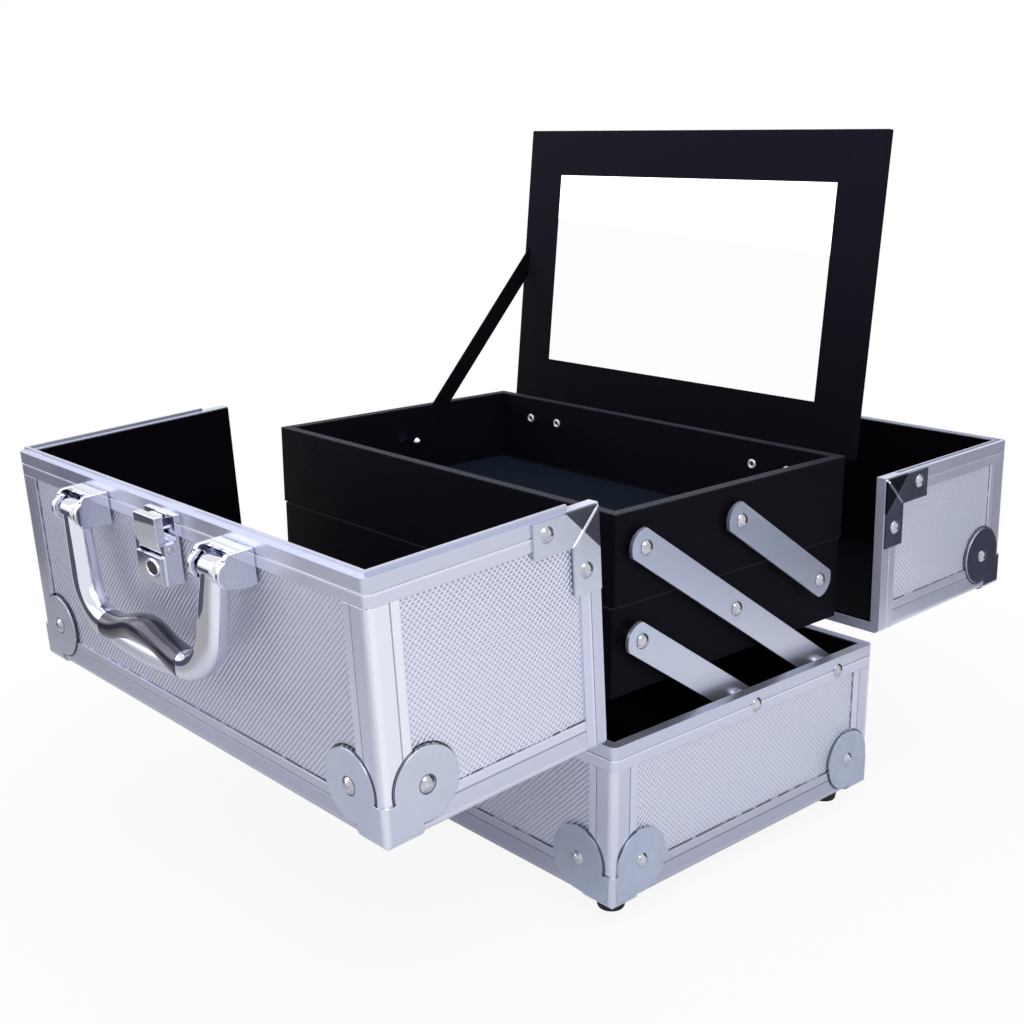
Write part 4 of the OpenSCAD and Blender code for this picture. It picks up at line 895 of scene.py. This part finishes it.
def handle():
    """Chrome bail with its leaning arms and elbows, the dark grip and the satin bow under it.

    The grip's spine rises in one wave, (1 + cos(pi s)) / 2 times its rise. The bow hangs below it as a
    parabola in s.
    """
    axis = np.array([0.0, *HANDLE_AXIS])
    lean = math.radians(BAIL_LEAN)
    top = np.array([HANDLE_X, 0.0, 0.0])
    elbow = top - BAIL_REACH * np.array([math.sin(lean), 0.0, math.cos(lean)])
    up = (top - elbow) / np.linalg.norm(top - elbow)
    centre = elbow + ELBOW_R * np.array([-math.cos(lean), 0.0, math.sin(lean)])
    lift = BAIL_CROWN * np.sin(np.linspace(np.pi / 2, 0, CROWN_RINGS))
    share = np.linspace(0, 1, ARM_RINGS)[1:, None]
    turn = np.linspace(-lean, -math.pi / 2, ELBOW_RINGS)[1:, None]
    path = np.concatenate([
        top + lift[:, None] * up,
        top + (elbow - top) * share,
        centre + ELBOW_R * np.concatenate([np.cos(turn), 0 * turn, np.sin(turn)], axis=1),
    ])
    # Along is 0 at the pivot, 0.5 at the elbow's start and 1 at its end
    along = np.concatenate([0 * lift, share[:, 0] * 0.5, np.linspace(0.5, 1, ELBOW_RINGS)[1:]])
    domed = np.concatenate([lift, np.zeros(len(path) - CROWN_RINGS)]) / BAIL_CROWN
    dome = np.sqrt(np.clip(1 - domed**2, 0.02, 1))
    belly = np.sin(np.pi * np.clip(along * 1.1, 0, 1)) ** 2
    half_in = (BAIL_HALF[0] + BAIL_GROWTH[0] * belly) * dome
    half_out = (BAIL_HALF[1] + BAIL_GROWTH[1] * along) * dome
    rings = swept(path, half_in, half_out, bulge=2.5)
    for side, name in ((1, "right"), (-1, "left")):
        placed = (rings * np.array([side, 1, 1]) + axis) * MM
        surface("bail_" + name, placed, "chrome", "handle", *(["handle_bail"] if side > 0 else []))

    end = centre[0]
    grip_z = centre[2] - ELBOW_R
    s = np.linspace(-1, 1, 61)
    spine = np.stack([s * end, 0 * s, grip_z + GRIP_RISE * (1 + np.cos(np.pi * s)) / 2], axis=1)
    swell = 1 + GRIP_SWELL * np.cos(2 * np.pi * s)
    grip = swept(spine, GRIP_HALF[0] * swell, GRIP_HALF[1] * swell, bulge=2.2, sides=44)
    surface("grip", (grip + axis) * MM, "grip", "handle", "handle_grip")

    low = grip_z - BOW_BELOW - BOW_DROP * (1 - s**2)
    radius = BOW_R[0] + BOW_R[1] * (1 - s**2)
    under = np.stack([s * end, 0 * s, low + radius], axis=1)
    bow = swept(under, radius, BOW_WIDTH[0] * radius + BOW_WIDTH[1], bulge=2.3)
    surface("bail_bow", (bow + axis) * MM, "bow", "handle")


def floor_paper():
    """White paper, its colour painted darker near the box. The camera sees it pure white but for a faint shadow
    near the box, real shadow with that painted shade in it.

    In polished metal it is white to the right of the box, darker with painted shade in front of the handle
    wall, and near the box it shows its real shade over its colour painted darker. Ellipses about the box and
    about the shaded part give the distances.
    """
    finish = Finish("floor_paper", (0.9, 0.9, 0.92), 0.9)
    x, y, z = finish.object_place()
    near = distance(x * (1 / NEAR_AXES[0]), y * (1 / NEAR_AXES[1])).step(1.5, 0.7)
    # Painted shade: the paper's colour darker near the box
    finish.set(**{"Base Color": finish.mix(near, (0.9, 0.9, 0.92), (0.74, 0.74, 0.78))})
    u, v = x - DIM_CENTRE[0], y - DIM_CENTRE[1]
    # Painted shade in reflections: the floor dimmer in front of the handle wall
    painted_dim = distance(u * (1 / DIM_AXES[0]), v * (1 / DIM_AXES[1])).step(1.25, 0.55)
    camera = finish.node("ShaderNodeLightPath", output="Is Camera Ray")
    glossy = finish.node("ShaderNodeLightPath", output="Is Glossy Ray")
    share = camera * (near * -0.09 + 1) + glossy * (near * -0.8 + 1)
    glow = finish.node("ShaderNodeEmission", inputs={"Strength": glossy * painted_dim * -0.52 + 1})
    paper = Value(finish, finish.shader.outputs[0])
    both = finish.node("ShaderNodeMixShader", inputs={0: share, 1: paper, 2: glow})
    finish.tree.links.new(both.socket, finish.tree.nodes["Material Output"].inputs[0])
    return finish.material


def sheet(name, points, material):
    """An open sheet from a grid of points, added to the scene."""
    rows, columns, _ = points.shape
    i, j = np.meshgrid(np.arange(rows - 1), np.arange(columns - 1), indexing="ij")
    first = i * columns + j
    quads = np.stack([first, first + 1, first + columns + 1, first + columns], axis=-1).reshape(-1, 4)
    mesh = bpy.data.meshes.new(name)
    mesh.from_pydata(points.reshape(-1, 3).tolist(), [], quads.tolist())
    mesh.materials.append(material)
    piece = bpy.data.objects.new(name, mesh)
    bpy.context.scene.collection.objects.link(piece)
    return piece


def flags():
    """Two studio flags, seen in reflections only.

    The profile of the dark one behind the box lies flat on the floor, turns up in a quarter circle and
    stands. The grey one at the front left is a low upright sheet.
    """
    turn = np.linspace(0, math.pi / 2, 9)
    bend = FLAG_BEND * np.stack([np.sin(turn), 1 - np.cos(turn)], axis=1)
    profile = np.concatenate([
        [[FLAG_FRONT, FLAG_LOW]],
        bend + [FLAG_BACK, FLAG_LOW],
        [[FLAG_BACK + FLAG_BEND, FLAG_TOP]],
    ])
    across = np.broadcast_to(np.array(FLAG_ACROSS)[None, :, None], (len(profile), 2, 1))
    behind = np.concatenate([across, np.broadcast_to(profile[:, None, :], (len(profile), 2, 2))], axis=2)
    foot = np.array(LOW_FLAG)
    left = np.stack([np.column_stack([foot, [z, z]]) for z in (FLAG_LOW, LOW_FLAG_TOP)])
    dark = Finish("flag_cloth", (0.010, 0.012, 0.030), 1.0).material
    grey = Finish("flag_cloth_grey", (0.10, 0.105, 0.14), 1.0).material
    for piece in (sheet("flag_behind", behind, dark), sheet("flag_left", left, grey)):
        piece.visible_camera = piece.visible_diffuse = piece.visible_shadow = False
        piece.visible_transmission = piece.visible_volume_scatter = False


def surround():
    """A surround that is white for the camera, in reflections and through glass, and dimmer as a light."""
    world = bpy.data.worlds.new("studio")
    bpy.context.scene.world = world
    world.use_nodes = True
    nodes, link = world.node_tree.nodes, world.node_tree.links.new
    plain = nodes["Background"]
    plain.inputs[0].default_value = (*SURROUND, 1)
    plain.inputs[1].default_value = SURROUND_STRENGTH
    white = nodes.new("ShaderNodeBackground")
    white.inputs[0].default_value = (1, 1, 1, 1)
    rays = nodes.new("ShaderNodeLightPath")
    seen = rays.outputs["Is Camera Ray"]
    for kind in ("Is Glossy Ray", "Is Transmission Ray"):
        either = nodes.new("ShaderNodeMath")
        either.operation = "ADD"
        either.use_clamp = True
        link(seen, either.inputs[0])
        link(rays.outputs[kind], either.inputs[1])
        seen = either.outputs[0]
    mix = nodes.new("ShaderNodeMixShader")
    link(seen, mix.inputs[0])
    link(plain.outputs[0], mix.inputs[1])
    link(white.outputs[0], mix.inputs[2])
    link(mix.outputs[0], nodes["World Output"].inputs[0])


def direction(ahead):
    """Turn that points a camera or lamp along a direction, with Z up in its view."""
    return Vector(tuple(float(v) for v in ahead)).to_track_quat("-Z", "Y")


def object_for(name, data):
    """Adds a lamp's or camera's data to the scene as an object."""
    holder = bpy.data.objects.new(name, data)
    bpy.context.scene.collection.objects.link(holder)
    return holder


def stage():
    """Pale floor, flags, surround, soft lamps and the camera."""
    reach = FLOOR_REACH
    corners = np.array([[[x, y, 0.0] for x in (-reach, reach)] for y in (-reach, reach)])
    sheet("floor", corners, floor_paper())
    flags()
    surround()
    for name, place, size, power in LAMPS:
        lamp = bpy.data.lights.new(name, "AREA")
        lamp.size = size
        lamp.energy = power
        holder = object_for(name, lamp)
        holder.location = place
        holder.rotation_euler = direction(np.array(LAMP_AIM) - place).to_euler()

    camera = bpy.data.cameras.new("camera")
    camera.lens = CAMERA_LENS
    camera.sensor_width = SENSOR
    holder = object_for("camera", camera)
    a, e = math.radians(CAMERA_AZIMUTH), math.radians(CAMERA_DOWN)
    ahead = np.array([-math.sin(a) * math.cos(e), math.cos(a) * math.cos(e), -math.sin(e)])
    turn = direction(ahead).to_matrix().to_4x4()
    roll = Matrix.Rotation(math.radians(CAMERA_ROLL), 4, "Z")
    holder.matrix_world = Matrix.Translation(CAMERA_PLACE) @ turn @ roll
    bpy.context.scene.camera = holder
    bpy.context.scene.view_settings.view_transform = "Standard"


for node, (finish, bevel_mm) in DRESS.items():
    piece = dress(node, finish, bevel_mm)
    if node == "lid_strap":
        piece.visible_glossy = False
        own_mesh(piece)
handle()
brackets()
keyhole()
eyelets()
stage()
